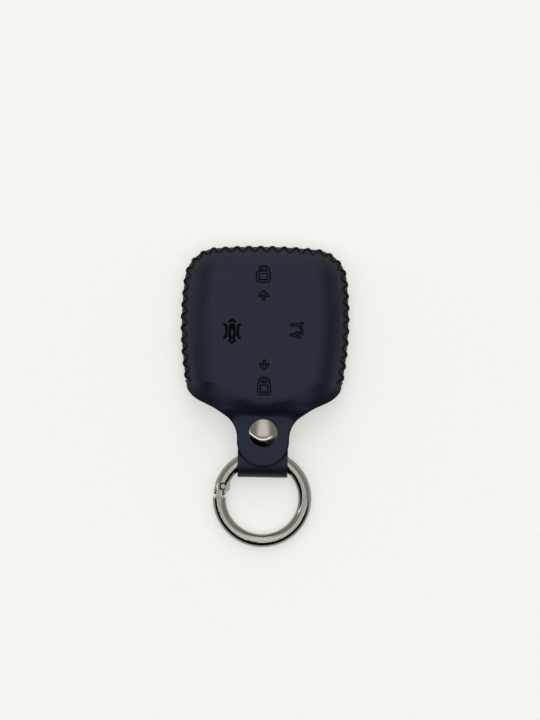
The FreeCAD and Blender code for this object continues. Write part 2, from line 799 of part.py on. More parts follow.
def make_snap_post():
    seat, sheet_metal = size("strap_bottom"), size("sheet_metal")
    post = size("post_radius")
    stud_top = size("fold_top") + sheet_metal + size("stud_neck_height") + size("stud_head_height")
    tip = stud_top - sheet_metal - size("rivet_clearance")
    flange = size("stud_flange_radius")
    turned_part("snap_post", polyline([
        (0, seat - sheet_metal), (flange, seat - sheet_metal), (flange, seat),
        (post, seat), (post, tip), (0, tip)]))


def make_snap_spring():
    """Hairpin of wire that grips the stud's neck, on the socket's lip."""
    lip = size("fold_top") + 2 * size("sheet_metal") + size("socket_gap")
    height = lip + size("grip_wire") / 2
    spread = size("stud_neck_radius") + size("grip_clearance") + size("grip_wire") / 2
    set_size("grip_spread", spread)
    bow_place = size("snap_place") + size("grip_reach") - spread / 2
    leg_start = size("snap_place") - size("grip_reach")
    set_size("grip_leg", bow_place - leg_start)
    legs = []
    for name, side in (("grip_left", -1), ("grip_right", 1)):
        leg = doc.addObject("Part::Cylinder", name)
        bind(leg, Radius="Sizes.grip_wire / 2", Height="Sizes.grip_leg")
        leg.Placement = Placement(Vector(side * spread, leg_start, height), Rotation(Vector(1, 0, 0), -90))
        legs.append(leg)
    bow = doc.addObject("Part::Torus", "grip_bow")
    bind(bow, Radius1="Sizes.grip_spread", Radius2="Sizes.grip_wire / 2")
    bow.Angle3 = 180
    bow.Placement = Placement(Vector(0, bow_place, height), Rotation())
    doc.recompute()
    finish(boolean("Fuse", "snap_spring", *legs, bow), "snap_spring")


# Spring-gate ring, made flat about its own middle and then laid in its place.

def ring_point(radius, angle):
    return Vector(radius * cosine(angle), radius * sine(angle), 0)


def ring_placement():
    """The ring hangs in the loop and its far side lies on the resting surface."""
    arm = size("swing_place") - size("ring_top_place") + 2 * size("ring_radius")
    tilt = math.degrees(math.asin((size("swing_height") - size("wire_radius")) / arm))
    axis = Vector(0, size("swing_place"), size("swing_height"))
    centre = size("ring_top_place") - size("ring_radius") - size("swing_place")
    swing = Placement(axis, Rotation(Vector(1, 0, 0), tilt))
    return swing.multiply(Placement(Vector(0, centre, 0), Rotation()))


laid = ring_placement()
pivot = ring_point(size("pivot_radius"), size("pivot_angle"))
inwards = ring_point(-1, size("pivot_angle"))
up_ring = Vector(-inwards.y, inwards.x, 0)
latch_reach = (ring_point(size("ring_radius"), size("latch_angle")) - pivot).Length
set_size("latch_reach", latch_reach)
set_size("tall_cut", size("ring_wire") + 2 * size("cut_overrun"))
set_size("lap_radius", size("ring_radius") + size("latch_lap_offset"))
set_size("fork_gap", size("tab_thickness") + 2 * size("fork_clearance"))


def latch_space(label, gap):
    """Room that the gate's free end takes, lapped under the lip of the ring's end."""
    long_reach = cylinder(label + "_long", pivot, "Sizes.latch_reach" + gap, "Sizes.tall_cut")
    inner_half = cylinder(label + "_inner", Vector(), "Sizes.lap_radius" + gap, "Sizes.tall_cut")
    tip = boolean("Common", label + "_tip", long_reach, inner_half)
    short_reach = cylinder(label + "_short", pivot, "Sizes.latch_reach - Sizes.latch_lap" + gap,
                           "Sizes.tall_cut")
    return boolean("Fuse", label, short_reach, tip)


def along_pivot(across, along):
    """A place by the pivot: across towards the ring's middle, and along the wire."""
    return pivot + inwards * across + up_ring * along


def pivot_turn():
    """Turns X to point inwards and Y along the wire."""
    return Rotation(inwards, up_ring, Vector(0, 0, 1), "XYZ")


def bore_cylinder(label, start, radius, length):
    """A cylinder along the pusher's bore, from a distance past the pivot."""
    item = doc.addObject("Part::Cylinder", label)
    bind(item, Radius=radius, Height=length)
    turn = Rotation(Vector(0, 0, 1), up_ring)
    item.Placement = Placement(along_pivot(size("pusher_offset"), start), turn)
    doc.recompute()
    return item


def make_ring_body():
    ear_end = size("ear_end_angle") + 360
    main = ring_arc("ring_main", LATCH_ROOT_ANGLE, ear_end - LATCH_ROOT_ANGLE)
    end_start = size("latch_angle") - LATCH_SPAN_ANGLE
    end = ring_arc("ring_end", end_start, LATCH_ROOT_ANGLE - end_start)
    end = boolean("Cut", "ring_latch_end", end, latch_space("latch_room", ""))
    knuckle = cylinder("ring_knuckle", pivot, "Sizes.knuckle_radius", "Sizes.knuckle_height")
    ring = boolean("Fuse", "ring_blank", main, end, knuckle)
    fork_round = cylinder("fork_round", pivot, "Sizes.tab_radius + Sizes.fork_end_clearance",
                          "Sizes.fork_gap")
    corner = along_pivot(-size("ring_wire"), -size("cut_overrun")) - Vector(0, 0, size("fork_gap") / 2)
    fork_slot = block("fork_slot", corner, "2 * Sizes.ring_wire", "Sizes.cut_overrun",
                      "Sizes.fork_gap", pivot_turn())
    pin_hole = cylinder("ring_pin_hole", pivot, "Sizes.pin_radius", "Sizes.tall_cut")
    recesses = []
    for name, side, turn in (("top_recess", 1, 0), ("bottom_recess", -1, 180)):
        recess = doc.addObject("Part::Cone", name)
        bind(recess, Radius1="Sizes.pin_recess_radius", Radius2="Sizes.pin_recess_radius + Sizes.cut_overrun",
             Height="Sizes.cut_overrun")
        foot = pivot + Vector(0, 0, side * size("pin_recess_spread") / 2)
        recess.Placement = Placement(foot, Rotation(Vector(1, 0, 0), turn))
        doc.recompute()
        recesses.append(recess)
    bore = bore_cylinder("spring_bore", 0, "Sizes.pusher_radius + Sizes.pusher_clearance",
                         "Sizes.spring_bore_depth")
    ring = boolean("Cut", "ring_body", ring, fork_round, fork_slot, pin_hole, bore, *recesses)
    finish(ring, "ring_body", laid)


def make_ring_gate():
    start = size("gate_start_angle")
    wire = ring_arc("gate_wire", start, size("latch_angle") + LATCH_SPAN_ANGLE - start)
    wire = boolean("Common", "gate_arm", wire, latch_space("latch_tip", " - Sizes.latch_gap"))
    knob = cylinder("tab_knob", pivot, "Sizes.tab_radius", "Sizes.tab_thickness")
    root = ring_point(size("ring_radius"), start)
    reach = root - pivot
    set_size("tab_reach", reach.Length)
    heading = Vector(reach).normalize()
    side = Vector(0, 0, 1).cross(heading)
    corner = pivot - side * (size("tab_width") / 2) - Vector(0, 0, size("tab_thickness") / 2)
    bar = block("tab_bar", corner, "Sizes.tab_reach + Sizes.tab_width / 2", "Sizes.tab_width",
                "Sizes.tab_thickness", Rotation(heading, side, Vector(0, 0, 1), "XYZ"))
    gate = boolean("Fuse", "gate_blank", wire, knob, bar)
    heel_corner = along_pivot(size("heel_inset"), size("heel_height")) - Vector(0, 0, size("tab_thickness"))
    heel = block("heel_flat", heel_corner, "Sizes.tab_radius", "Sizes.tab_radius",
                 "2 * Sizes.tab_thickness", pivot_turn())
    pin_hole = cylinder("gate_pin_hole", pivot, "Sizes.pin_radius + Sizes.pin_clearance", "Sizes.tall_cut")
    finish(boolean("Cut", "ring_gate", gate, heel, pin_hole), "ring_gate", laid)


def make_gate_pin():
    pin = cylinder("gate_pin", pivot, "Sizes.pin_radius", "Sizes.pin_length")
    finish(pin, "gate_pin", laid.multiply(pin.Placement))


def make_spring_pusher():
    start = size("heel_height") + size("pusher_gap")
    pusher = bore_cylinder("spring_pusher", start, "Sizes.pusher_radius", "Sizes.pusher_length")
    finish(pusher, "spring_pusher", laid.multiply(pusher.Placement))


def make_gate_spring():
    """Coil behind the pusher, one unbroken wire on arcs of a quarter turn."""
    gap, wire = size("spring_end_gap"), size("spring_wire")
    start = size("heel_height") + size("pusher_gap") + size("pusher_length") + gap + wire / 2
    stop = size("spring_bore_depth") - gap - wire / 2
    coil_radius = size("pusher_radius") - wire / 2
    pitch = (stop - start) / SPRING_TURNS

    def place(turns):
        angle = 360 * turns
        return Vector(coil_radius * cosine(angle), coil_radius * sine(angle), start + pitch * turns)

    arcs = []
    for number in range(4 * SPRING_TURNS):
        ends = [place((number + share) / 4) for share in (0, 0.5, 1)]
        arcs.append(Part.Arc(*ends).toShape())
    path = Part.Wire(arcs)
    heading = arcs[0].tangentAt(arcs[0].FirstParameter)
    section = Part.Wire([Part.Circle(place(0), heading, wire / 2).toShape()])
    spring = doc.addObject("Part::Feature", "gate_spring")
    spring.Shape = path.makePipeShell([section], True, False)
    print("spring gap between turns", round(pitch - wire, 3))
    turn = Rotation(Vector(0, 0, 1), up_ring)
    finish(spring, "gate_spring", laid.multiply(Placement(along_pivot(size("pusher_offset"), 0), turn)))


make_front_panel()
make_front_flap()
make_back_panel()
make_ring_loop()
make_edge_thread()
make_snap_cap()
make_snap_socket()
make_snap_stud()
make_snap_post()
make_snap_spring()
make_ring_body()
make_ring_gate()
make_gate_pin()
make_spring_pusher()
make_gate_spring()
doc.recompute()

for item in doc.Objects:
    if "Invalid" in item.State or "Error" in item.State:
        raise RuntimeError("%s failed: %s" % (item.Label, item.State))
for part in parts:
    if part.Shape.isNull() or not part.Shape.isValid():
        raise RuntimeError("%s has no valid shape" % part.Label)

os.makedirs("parts", exist_ok=True)
for part in parts:
    part.Shape.exportStep("parts/%s.step" % part.Label)
    box = part.Shape.BoundBox
    print("%-14s solids %3d volume %9.3f  x %7.2f %7.2f  y %7.2f %7.2f  z %6.2f %6.2f" % (
        part.Label, len(part.Shape.Solids), part.Shape.Volume,
        box.XMin, box.XMax, box.YMin, box.YMax, box.ZMin, box.ZMax))
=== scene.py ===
"""A moulded leather key fob cover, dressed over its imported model.

Tables are in millimetres and degrees. Meshes are in metres, in the model's own frame:
+Z is up, +Y runs to the closed end and the ring lies at -Y.
"""
import json
import math

import bpy
import numpy as np
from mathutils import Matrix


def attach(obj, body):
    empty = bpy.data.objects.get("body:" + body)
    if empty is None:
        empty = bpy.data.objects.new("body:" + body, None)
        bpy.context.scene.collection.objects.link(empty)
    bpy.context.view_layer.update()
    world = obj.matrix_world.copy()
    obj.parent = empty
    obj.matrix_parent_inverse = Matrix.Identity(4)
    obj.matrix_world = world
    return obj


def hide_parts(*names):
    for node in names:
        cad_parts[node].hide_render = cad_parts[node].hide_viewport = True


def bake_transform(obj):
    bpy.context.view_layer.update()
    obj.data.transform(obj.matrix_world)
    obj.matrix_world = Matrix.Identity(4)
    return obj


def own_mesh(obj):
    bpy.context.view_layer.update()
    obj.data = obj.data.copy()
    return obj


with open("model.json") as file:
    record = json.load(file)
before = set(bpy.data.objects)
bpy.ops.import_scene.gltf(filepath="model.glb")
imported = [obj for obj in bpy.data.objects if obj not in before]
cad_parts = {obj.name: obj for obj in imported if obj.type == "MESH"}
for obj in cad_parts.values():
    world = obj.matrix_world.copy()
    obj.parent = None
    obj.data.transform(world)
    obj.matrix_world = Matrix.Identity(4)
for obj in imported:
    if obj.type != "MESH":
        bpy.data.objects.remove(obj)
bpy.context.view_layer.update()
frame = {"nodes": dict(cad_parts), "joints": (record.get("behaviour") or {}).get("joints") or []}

MM = 0.001
# Vertices that lie closer than this are one.
MERGE_REACH = 0.001 * MM

# Leather
LEATHER = 1.3
SEAM_HEIGHT = 6.2
FRONT_TOP = 15.2
WALL_SLOPE = math.radians(60)
FRONT_SHOULDER = 10.0
BACK_SHOULDER = 5.5
# Outline of the stitched pocket
POCKET_HALF = 28.6
WIDEST_PLACE = 26.0
POCKET_TOP = 51.6
TOP_RADIUS = 200.0
SIDE_RADIUS = 120.0
CORNER_RADIUS = 11.5
BEND_PLACE = 5.0
# Neck, tongue and strap
NECK_PLACE = -6.7
NECK_RISE = 0.05
NECK_SLOPE = math.radians(3)
CROWN_FOOT = -9.6
FLARE_PLACE = -14.1
FLARE_RADIUS = 9.5
TONGUE_HALF = 8.9
TONGUE_END = -23.8
TONGUE_TOP = 11.7
STRAP_HALF = 8.55
STRAP_BOTTOM = 3.8
SNAP_PLACE = -12.1
SHANK_HOLE = 1.3
POST_HOLE = 1.0
# Stitching
STITCH_PITCH = 4.0
STITCH_DEPTH = 2.9
THREAD_RADIUS = 0.275
PLY_RADIUS = 0.165
PLY_TURN = 1.15

# Sections of a skin from the bend to the neck, as shares of what they run between. The crown of
# the front runs further, to its own foot.
FRONT_END_SHARES = {
    "width": (1.0, 0.946, 0.731, 0.31, 0.0),
    "crown": (1.0, 0.99, 0.83, 0.27, 0.0),
    "rim": (1.0, 0.62, 0.28, 0.09, 0.0),
    "slope": (1.0, 0.62, 0.34, 0.2, 0.0),
}
BACK_END_SHARES = {
    "width": (1.0, 0.946, 0.731, 0.31, 0.0),
    "crown": (1.0, 0.98, 0.83, 0.41, 0.0),
    "rim": (1.0, 0.915, 0.7, 0.34, 0.0),
    "slope": (1.0, 1.0, 0.86, 0.6, 0.0),
}
# Cut of the rim in those sections: 0 along the seam, 1 square to the skin.
RIM_CUT_SHARES = (0.0, 0.1, 0.6, 1.0, 1.0)
# A free cut edge is eased and dyed over a narrow width, and bevelled; the dye is real, and it also paints
# the shade along the edge.
EDGE_WIDTH = 0.55
EDGE_DROP = 0.2
EDGE_BEVEL = 0.2
# Lower corners of the front: how far they stay up, where across that begins, is full and has
# faded, how far it fades, and where along the neck it begins and is full.
CORNER_LIFT = 0.55
CORNER_ACROSS = (5, 14, 24)
CORNER_FADE = 0.75
CORNER_ALONG = (-8.5, -4)
# Painted shade on the walls of the front, dark and without sheen: how much, how much less at a free
# edge, how far in from the edge, and where along the neck that begins and is full.
WALL_SHADE = 0.58
WALL_SHADE_LESS = 0.3
WALL_SHADE_REACH = (0.5, 5.5)
WALL_SHADE_ALONG = (NECK_PLACE - 2, -3)
# Leather drawn in round a stitch hole: where it is full and has faded, its depth and the painted shade in
# it.
HOLE_REACH = (0.1, 0.75)
HOLE_DEPTH = 0.3
HOLE_SHADE = 0.9


# Small helpers.

def smooth_step(low, high, value):
    share = np.clip((value - low) / (high - low), 0, 1)
    return share * share * (3 - 2 * share)


def spaced(*bands):
    """Places along a line from bands of start, stop and spacing."""
    places = []
    for start, stop, step in bands:
        count = max(round((stop - start) / step), 1)
        places.extend(np.linspace(start, stop, count, endpoint=False))
    return np.array(places + [bands[-1][1]])


def only(thing):
    """Select one object alone and make it active."""
    bpy.ops.object.select_all(action="DESELECT")
    thing.select_set(True)
    bpy.context.view_layer.objects.active = thing
    return thing


def modify(thing, kind, **settings):
    """Add a modifier, set it and apply it."""
    only(thing)
    modifier = thing.modifiers.new(kind.lower(), kind)
    for name, value in settings.items():
        setattr(modifier, name, value)
    bpy.ops.object.modifier_apply(modifier=modifier.name)


def places_of(thing):
    """The vertices of a mesh, in millimetres."""
    flat = np.zeros(len(thing.data.vertices) * 3)
    thing.data.vertices.foreach_get("co", flat)
    return flat.reshape(-1, 3) / MM


def set_places(thing, places):
    thing.data.vertices.foreach_set("co", (places * MM).ravel())
    thing.data.update()


def normals_of(thing):
    flat = np.zeros(len(thing.data.vertices) * 3)
    thing.data.vertex_normals.foreach_get("vector", flat)
    return flat.reshape(-1, 3)


# Colours and materials.

# Painted shade along each edge of a pressed stroke, as a dark line: the value noted at the edge,
# which leather with no note is far from, the inset from the edge, and the full and faded half-width.
EDGE_NOTE = 2
LINE_INSET = 0.1
LINE_CORE = 0.14
LINE_REACH = 0.3


def colour(code):
    """Linear colour of an sRGB hex code."""
    channels = [int(code[place:place + 2], 16) / 255 for place in (1, 3, 5)]
    return [c / 12.92 if c <= 0.04045 else ((c + 0.055) / 1.055) ** 2.4 for c in channels] + [1]


def add_node(tree, kind, inputs, **settings):
    """Add a node, set its properties, and set or link its inputs."""
    node = tree.nodes.new(kind)
    for name, value in settings.items():
        setattr(node, name, value)
    for socket, value in inputs.items():
        if isinstance(value, bpy.types.NodeSocket):
            tree.links.new(value, node.inputs[socket])
        else:
            node.inputs[socket].default_value = value
    return node


def new_material(name):
    material = bpy.data.materials.new(name)
    material.use_nodes = True
    tree = material.node_tree
    tree.nodes.clear()
    place = add_node(tree, "ShaderNodeTexCoord", {}).outputs["Object"]
    return material, tree, place


def close_material(tree, shader):
    add_node(tree, "ShaderNodeOutputMaterial", {"Surface": shader.outputs[0]})


def per_mm(size):
    """Pattern scale that repeats about once in a size in millimetres."""
    return 1 / (size * MM)


def painted_shade_share(tree):
    """Painted shade on the leather: along pressed strokes, in stitch holes, on walls near the neck; and
    edge dye.
    """
    line = add_node(tree, "ShaderNodeAttribute", {}, attribute_name="line").outputs["Fac"]
    dyed = add_node(tree, "ShaderNodeAttribute", {}, attribute_name="dyed").outputs["Fac"]
    off = add_node(tree, "ShaderNodeMath", {0: line, 1: EDGE_NOTE - LINE_INSET}, operation="SUBTRACT")
    off = add_node(tree, "ShaderNodeMath", {0: off.outputs[0]}, operation="ABSOLUTE")
    edge = add_node(tree, "ShaderNodeMapRange", {
        "Value": off.outputs[0], "From Min": LINE_CORE, "From Max": LINE_REACH,
        "To Min": 1.0, "To Max": 0.0}, interpolation_type="SMOOTHSTEP")
    dark = add_node(tree, "ShaderNodeMath", {0: edge.outputs["Result"], 1: dyed}, operation="MAXIMUM")
    return dark.outputs[0]


def make_grain_leather():
    """Chrome-tanned calf with a blue-black pigment finish: nearly black in itself, and what is seen
    is mostly the soft blue sheen of the finish, so a part that faces the dark looks black.

    The pebble is about a third of a millimetre, drawn at 0.7 mm so that it shows. Painted shade,
    near black and without sheen, lies along pressed strokes, in stitch holes and on the walls near
    the neck; the dark dye along a free cut edge is drawn with it.
    """
    material, tree, place = new_material("navy_black_grain_leather")
    mottle = add_node(tree, "ShaderNodeTexNoise", {"Vector": place, "Scale": per_mm(9), "Detail": 3.0})
    pebble = add_node(tree, "ShaderNodeTexVoronoi", {
        "Vector": place, "Scale": per_mm(0.7), "Randomness": 1.0}, feature="SMOOTH_F1")
    pores = add_node(tree, "ShaderNodeTexNoise", {"Vector": place, "Scale": per_mm(0.3), "Detail": 2.0})
    dark = painted_shade_share(tree)
    tone = add_node(tree, "ShaderNodeMix", {"Factor": mottle.outputs["Fac"], "A": colour("#080b15"),
                                            "B": colour("#0b0f1b")}, data_type="RGBA")
    gloss = add_node(tree, "ShaderNodeMapRange", {
        "Value": mottle.outputs["Fac"], "To Min": 0.42, "To Max": 0.5})
    low = add_node(tree, "ShaderNodeBump", {"Height": pores.outputs["Fac"], "Strength": 0.12,
                                            "Distance": 0.1 * MM})
    bump = add_node(tree, "ShaderNodeBump", {"Height": pebble.outputs["Distance"], "Strength": 0.16,
                                             "Distance": 0.2 * MM, "Normal": low.outputs["Normal"]})
    grain = add_node(tree, "ShaderNodeBsdfPrincipled", {
        "Base Color": tone.outputs["Result"], "Roughness": gloss.outputs["Result"],
        "Normal": bump.outputs["Normal"], "Specular IOR Level": 0.36, "Specular Tint": colour("#c6d7ff")})
    # Painted shade: near-black, dull leather mixed in along pressed strokes, in stitch holes and on walls
    # near the neck; the dye of a free edge is drawn with it.
    shade_and_dye_bsdf = add_node(tree, "ShaderNodeBsdfPrincipled", {
        "Base Color": colour("#030305"), "Roughness": 0.85, "Specular IOR Level": 0.08})
    shader = add_node(tree, "ShaderNodeMixShader", {0: dark, 1: grain.outputs[0], 2: shade_and_dye_bsdf.outputs[0]})
    close_material(tree, shader)
    return material


def make_flesh_side():
    """The split side of the same hide: short nap, dull and a little paler than the grain."""
    material, tree, place = new_material("suede_flesh_side")
    nap = add_node(tree, "ShaderNodeTexNoise", {"Vector": place, "Scale": per_mm(0.6), "Detail": 4.0})
    tone = add_node(tree, "ShaderNodeMix", {"Factor": nap.outputs["Fac"], "A": colour("#1d1e22"),
                                            "B": colour("#34353b")}, data_type="RGBA")
    bump = add_node(tree, "ShaderNodeBump", {"Height": nap.outputs["Fac"], "Strength": 0.4,
                                             "Distance": 0.2 * MM})
    shader = add_node(tree, "ShaderNodeBsdfPrincipled", {
        "Base Color": tone.outputs["Result"], "Roughness": 0.95, "Normal": bump.outputs["Normal"],
        "Sheen Weight": 0.25, "Sheen Roughness": 0.5})
    close_material(tree, shader)
    return material


def make_cut_edge():
    """A knife-cut edge sealed with edge dye: nearly black, a little smoother than the nap."""
    material, tree, place = new_material("dyed_cut_edge")
    fibre = add_node(tree, "ShaderNodeTexNoise", {"Vector": place, "Scale": per_mm(0.4), "Detail": 3.0})
    tone = add_node(tree, "ShaderNodeMix", {"Factor": fibre.outputs["Fac"], "A": colour("#050508"),
                                            "B": colour("#0e0e13")}, data_type="RGBA")
    bump = add_node(tree, "ShaderNodeBump", {"Height": fibre.outputs["Fac"], "Strength": 0.35,
                                             "Distance": 0.12 * MM})
    shader = add_node(tree, "ShaderNodeBsdfPrincipled", {
        "Base Color": tone.outputs["Result"], "Roughness": 0.6, "Normal": bump.outputs["Normal"],
        "Specular IOR Level": 0.3})
    close_material(tree, shader)
    return material


def make_waxed_thread():
    """Waxed polyester sewing thread, two plies: black, with a faint waxy shine."""
    material, tree, place = new_material("waxed_black_thread")
    fibre = add_node(tree, "ShaderNodeTexNoise", {"Vector": place, "Scale": per_mm(0.15), "Detail": 2.0})
    tone = add_node(tree, "ShaderNodeMix", {"Factor": fibre.outputs["Fac"], "A": colour("#040406"),
                                            "B": colour("#0e0e13")}, data_type="RGBA")
    bump = add_node(tree, "ShaderNodeBump", {"Height": fibre.outputs["Fac"], "Strength": 0.3,
                                             "Distance": 0.04 * MM})
    shader = add_node(tree, "ShaderNodeBsdfPrincipled", {
        "Base Color": tone.outputs["Result"], "Roughness": 0.55, "Normal": bump.outputs["Normal"]})
    close_material(tree, shader)
    return material


def make_plated_metal(name, code, roughness, wear):
    """Polished metal, black nickel plate or bare steel: a mirror with a faint film and fine marks."""
    material, tree, place = new_material(name)
    film = add_node(tree, "ShaderNodeTexNoise", {"Vector": place, "Scale": per_mm(5), "Detail": 3.0})
    marks = add_node(tree, "ShaderNodeTexNoise", {"Vector": place, "Scale": per_mm(0.35), "Detail": 3.0})
    gloss = add_node(tree, "ShaderNodeMapRange", {
        "Value": film.outputs["Fac"], "From Min": 0.3, "From Max": 0.7,
        "To Min": roughness, "To Max": roughness + wear})
    bump = add_node(tree, "ShaderNodeBump", {"Height": marks.outputs["Fac"], "Strength": 0.02,
                                             "Distance": 0.05 * MM})
    shader = add_node(tree, "ShaderNodeBsdfPrincipled", {
        "Base Color": colour(code), "Metallic": 1.0, "Roughness": gloss.outputs["Result"],
        "Normal": bump.outputs["Normal"]})
    close_material(tree, shader)
    return material


grain_leather = make_grain_leather()
flesh_side = make_flesh_side()
cut_edge = make_cut_edge()
waxed_thread = make_waxed_thread()
ring_plate = make_plated_metal("black_nickel_ring_plate", "#918e88", 0.13, 0.06)
cap_plate = make_plated_metal("black_nickel_cap_plate", "#8d8a85", 0.09, 0.05)
stud_plate = make_plated_metal("black_nickel_stud_plate", "#8e8880", 0.22, 0.1)
spring_steel = make_plated_metal("bright_spring_steel", "#b4b4b2", 0.25, 0.1)


# Outline of the pocket: three arcs on each side of the middle, tangent to each other.

top_centre = np.array([0, POCKET_TOP - TOP_RADIUS])
side_centre = np.array([POCKET_HALF - SIDE_RADIUS, WIDEST_PLACE])


def find_corner_centre():
    reach_top = TOP_RADIUS - CORNER_RADIUS
    reach_side = SIDE_RADIUS - CORNER_RADIUS
    apart = side_centre - top_centre
    length = np.hypot(*apart)
    along = (reach_top ** 2 - reach_side ** 2 + length ** 2) / (2 * length)
    across = math.sqrt(reach_top ** 2 - along ** 2)
    return top_centre + (apart * along + np.array([apart[1], -apart[0]]) * across) / length


corner_centre = find_corner_centre()
side_to_corner = corner_centre - side_centre
top_to_corner = corner_centre - top_centre
SIDE_JOINT_ANGLE = math.atan2(side_to_corner[1], side_to_corner[0])
TOP_JOINT_ANGLE = math.atan2(top_to_corner[1], top_to_corner[0])
corner_middle = corner_centre + CORNER_RADIUS * math.sqrt(0.5)
FLARE_WIDTH = FLARE_RADIUS - math.sqrt(FLARE_RADIUS ** 2 - (NECK_PLACE - FLARE_PLACE) ** 2)
BEND_HALF = side_centre[0] + math.sqrt(SIDE_RADIUS ** 2 - (BEND_PLACE - WIDEST_PLACE) ** 2)


def pocket_inset(x, y):
    """How far a place of the pocket lies inside the stitched edge."""
    across = np.abs(x)
    from_side = SIDE_RADIUS - np.hypot(across - side_centre[0], y - side_centre[1])
    from_top = TOP_RADIUS - np.hypot(across, y - top_centre[1])
    from_corner = CORNER_RADIUS - np.hypot(across - corner_centre[0], y - corner_centre[1])
    angle = np.arctan2(y - corner_centre[1], across - corner_centre[0])
    in_corner = (angle > SIDE_JOINT_ANGLE) & (angle < TOP_JOINT_ANGLE)
    return np.where(in_corner, from_corner, np.minimum(from_side, from_top))


def top_edge(x):
    """Height in plan of the top edge over a place across."""
    across = np.abs(x)
    joint = top_centre[0] + TOP_RADIUS * math.cos(TOP_JOINT_ANGLE)
    arch = top_centre[1] + np.sqrt(TOP_RADIUS ** 2 - across ** 2)
    from_corner = across - corner_centre[0]
    corner = corner_centre[1] + np.sqrt(np.maximum(CORNER_RADIUS ** 2 - from_corner ** 2, 0))
    return np.where(across < joint, arch, corner)


def eased(shares, place, flat_end):
    """Smooth value of a share between five even sections."""
    shares = np.array(shares)
    slopes = np.gradient(shares)
    if flat_end:
        slopes[-1] = 0
    spot = np.clip(place, 0, 1) * (len(shares) - 1)
    first = np.minimum(spot.astype(int), len(shares) - 2)
    t = spot - first
    start, stop = shares[first], shares[first + 1]
    return (start * (1 + 2 * t) * (1 - t) ** 2 + slopes[first] * t * (1 - t) ** 2
            + stop * t * t * (3 - 2 * t) + slopes[first + 1] * t * t * (t - 1))


def arch_height(inset, rise, slope, share):
    """Height of a moulded skin at an inset from its rim: straight wall, shoulder and flat crown."""
    slant = rise / np.sin(slope)
    run_out = share * slant
    radius = run_out / np.tan(slope / 2)
    wall_end = (slant - run_out) * np.cos(slope)
    crown_start = rise / np.tan(slope) + run_out
    shoulder = rise - radius + np.sqrt(np.maximum(radius ** 2 - (crown_start - inset) ** 2, 0))
    height = np.where(inset < wall_end, inset * np.tan(slope), shoulder)
    return np.where(inset > crown_start, rise, height)


def shoulder_share(rise, radius):
    return radius * math.tan(WALL_SLOPE / 2) * math.sin(WALL_SLOPE) / rise


class Skin:
    """Outer face of one moulded skin, from the closed end to the end of its tongue or strap."""

    def __init__(self, shares, half, rims, crowns, radius, foot, round_end):
        self.shares, self.half, self.foot = shares, half, foot
        self.rims, self.crowns = rims, crowns
        self.end_centre = TONGUE_END + half if round_end else -math.inf
        self.share = shoulder_share(abs(crowns[0] - rims[0]), radius)

    def part(self, name, y):
        foot = self.foot if name == "crown" else NECK_PLACE
        return eased(self.shares[name], (BEND_PLACE - y) / (BEND_PLACE - foot), name != "width")

    def half_width(self, y):
        side = side_centre[0] + np.sqrt(SIDE_RADIUS ** 2 - (y - WIDEST_PLACE) ** 2)
        corner = corner_centre[0] + np.sqrt(np.maximum(CORNER_RADIUS ** 2 - (y - corner_centre[1]) ** 2, 0))
        neck = self.half + FLARE_WIDTH
        lower = neck + self.part("width", y) * (BEND_HALF - neck)
        rise = np.clip(y - FLARE_PLACE, 0, FLARE_RADIUS)
        tongue = self.half + FLARE_RADIUS - np.sqrt(FLARE_RADIUS ** 2 - rise ** 2)
        drop = np.maximum(self.end_centre - y, 0)
        tip = np.sqrt(np.maximum(self.half ** 2 - drop ** 2, 0))
        joint = side_centre[1] + SIDE_RADIUS * math.sin(SIDE_JOINT_ANGLE)
        upper = np.where(y > joint, corner, side)
        narrow = np.where(drop > 0, tip, tongue)
        return np.where(y > BEND_PLACE, upper, np.where(y > NECK_PLACE, lower, narrow))

    def rim(self, y):
        return self.rims[1] + self.part("rim", y) * (self.rims[0] - self.rims[1])

    def slope(self, y):
        return NECK_SLOPE + self.part("slope", y) * (WALL_SLOPE - NECK_SLOPE)

    def height(self, x, y):
        """Height of the outer face over a place."""
        rim = self.rim(y)
        crown = self.crowns[1] + self.part("crown", y) * (self.crowns[0] - self.crowns[1])
        up = np.sign(self.crowns[0] - self.rims[0])
        inset = np.maximum(self.half_width(y) - np.abs(x), 0)
        lower = rim + up * arch_height(inset, np.abs(crown - rim), self.slope(y), self.share)
        inset = np.maximum(pocket_inset(x, y), 0)
        rise = abs(self.crowns[0] - self.rims[0])
        pocket = self.rims[0] + up * arch_height(inset, rise, WALL_SLOPE, self.share)
        weight = smooth_step(BEND_PLACE - 0.2, BEND_PLACE + 7, y)
        return lower * (1 - weight) + pocket * weight

    def edge_inset(self, x, y):
        """How far a place lies inside the edge of the skin."""
        step = 0.05
        lean = (self.half_width(y + step) - self.half_width(y - step)) / (2 * step)
        side = (self.half_width(y) - np.abs(x)) / np.hypot(1, lean)
        tip = self.half - np.hypot(x, y - self.end_centre)
        return np.where(y > BEND_PLACE, pocket_inset(x, y), np.where(y < self.end_centre, tip, side))

    def cut_height(self, y):
        """Height of the inner edge of the rim."""
        up = np.sign(self.crowns[0] - self.rims[0])
        cut = np.interp((BEND_PLACE - y) / (BEND_PLACE - NECK_PLACE), np.linspace(0, 1, 5), RIM_CUT_SHARES)
        return self.rim(y) - up * LEATHER * np.cos(self.slope(y)) * cut


front = Skin(FRONT_END_SHARES, TONGUE_HALF, (SEAM_HEIGHT, TONGUE_TOP - NECK_RISE), (FRONT_TOP, TONGUE_TOP),
             FRONT_SHOULDER, CROWN_FOOT, True)
back = Skin(BACK_END_SHARES, STRAP_HALF, (SEAM_HEIGHT, STRAP_BOTTOM + NECK_RISE), (0.0, STRAP_BOTTOM),
            BACK_SHOULDER, NECK_PLACE, False)


# Signs: plain remote symbols, pressed into the front as strokes.

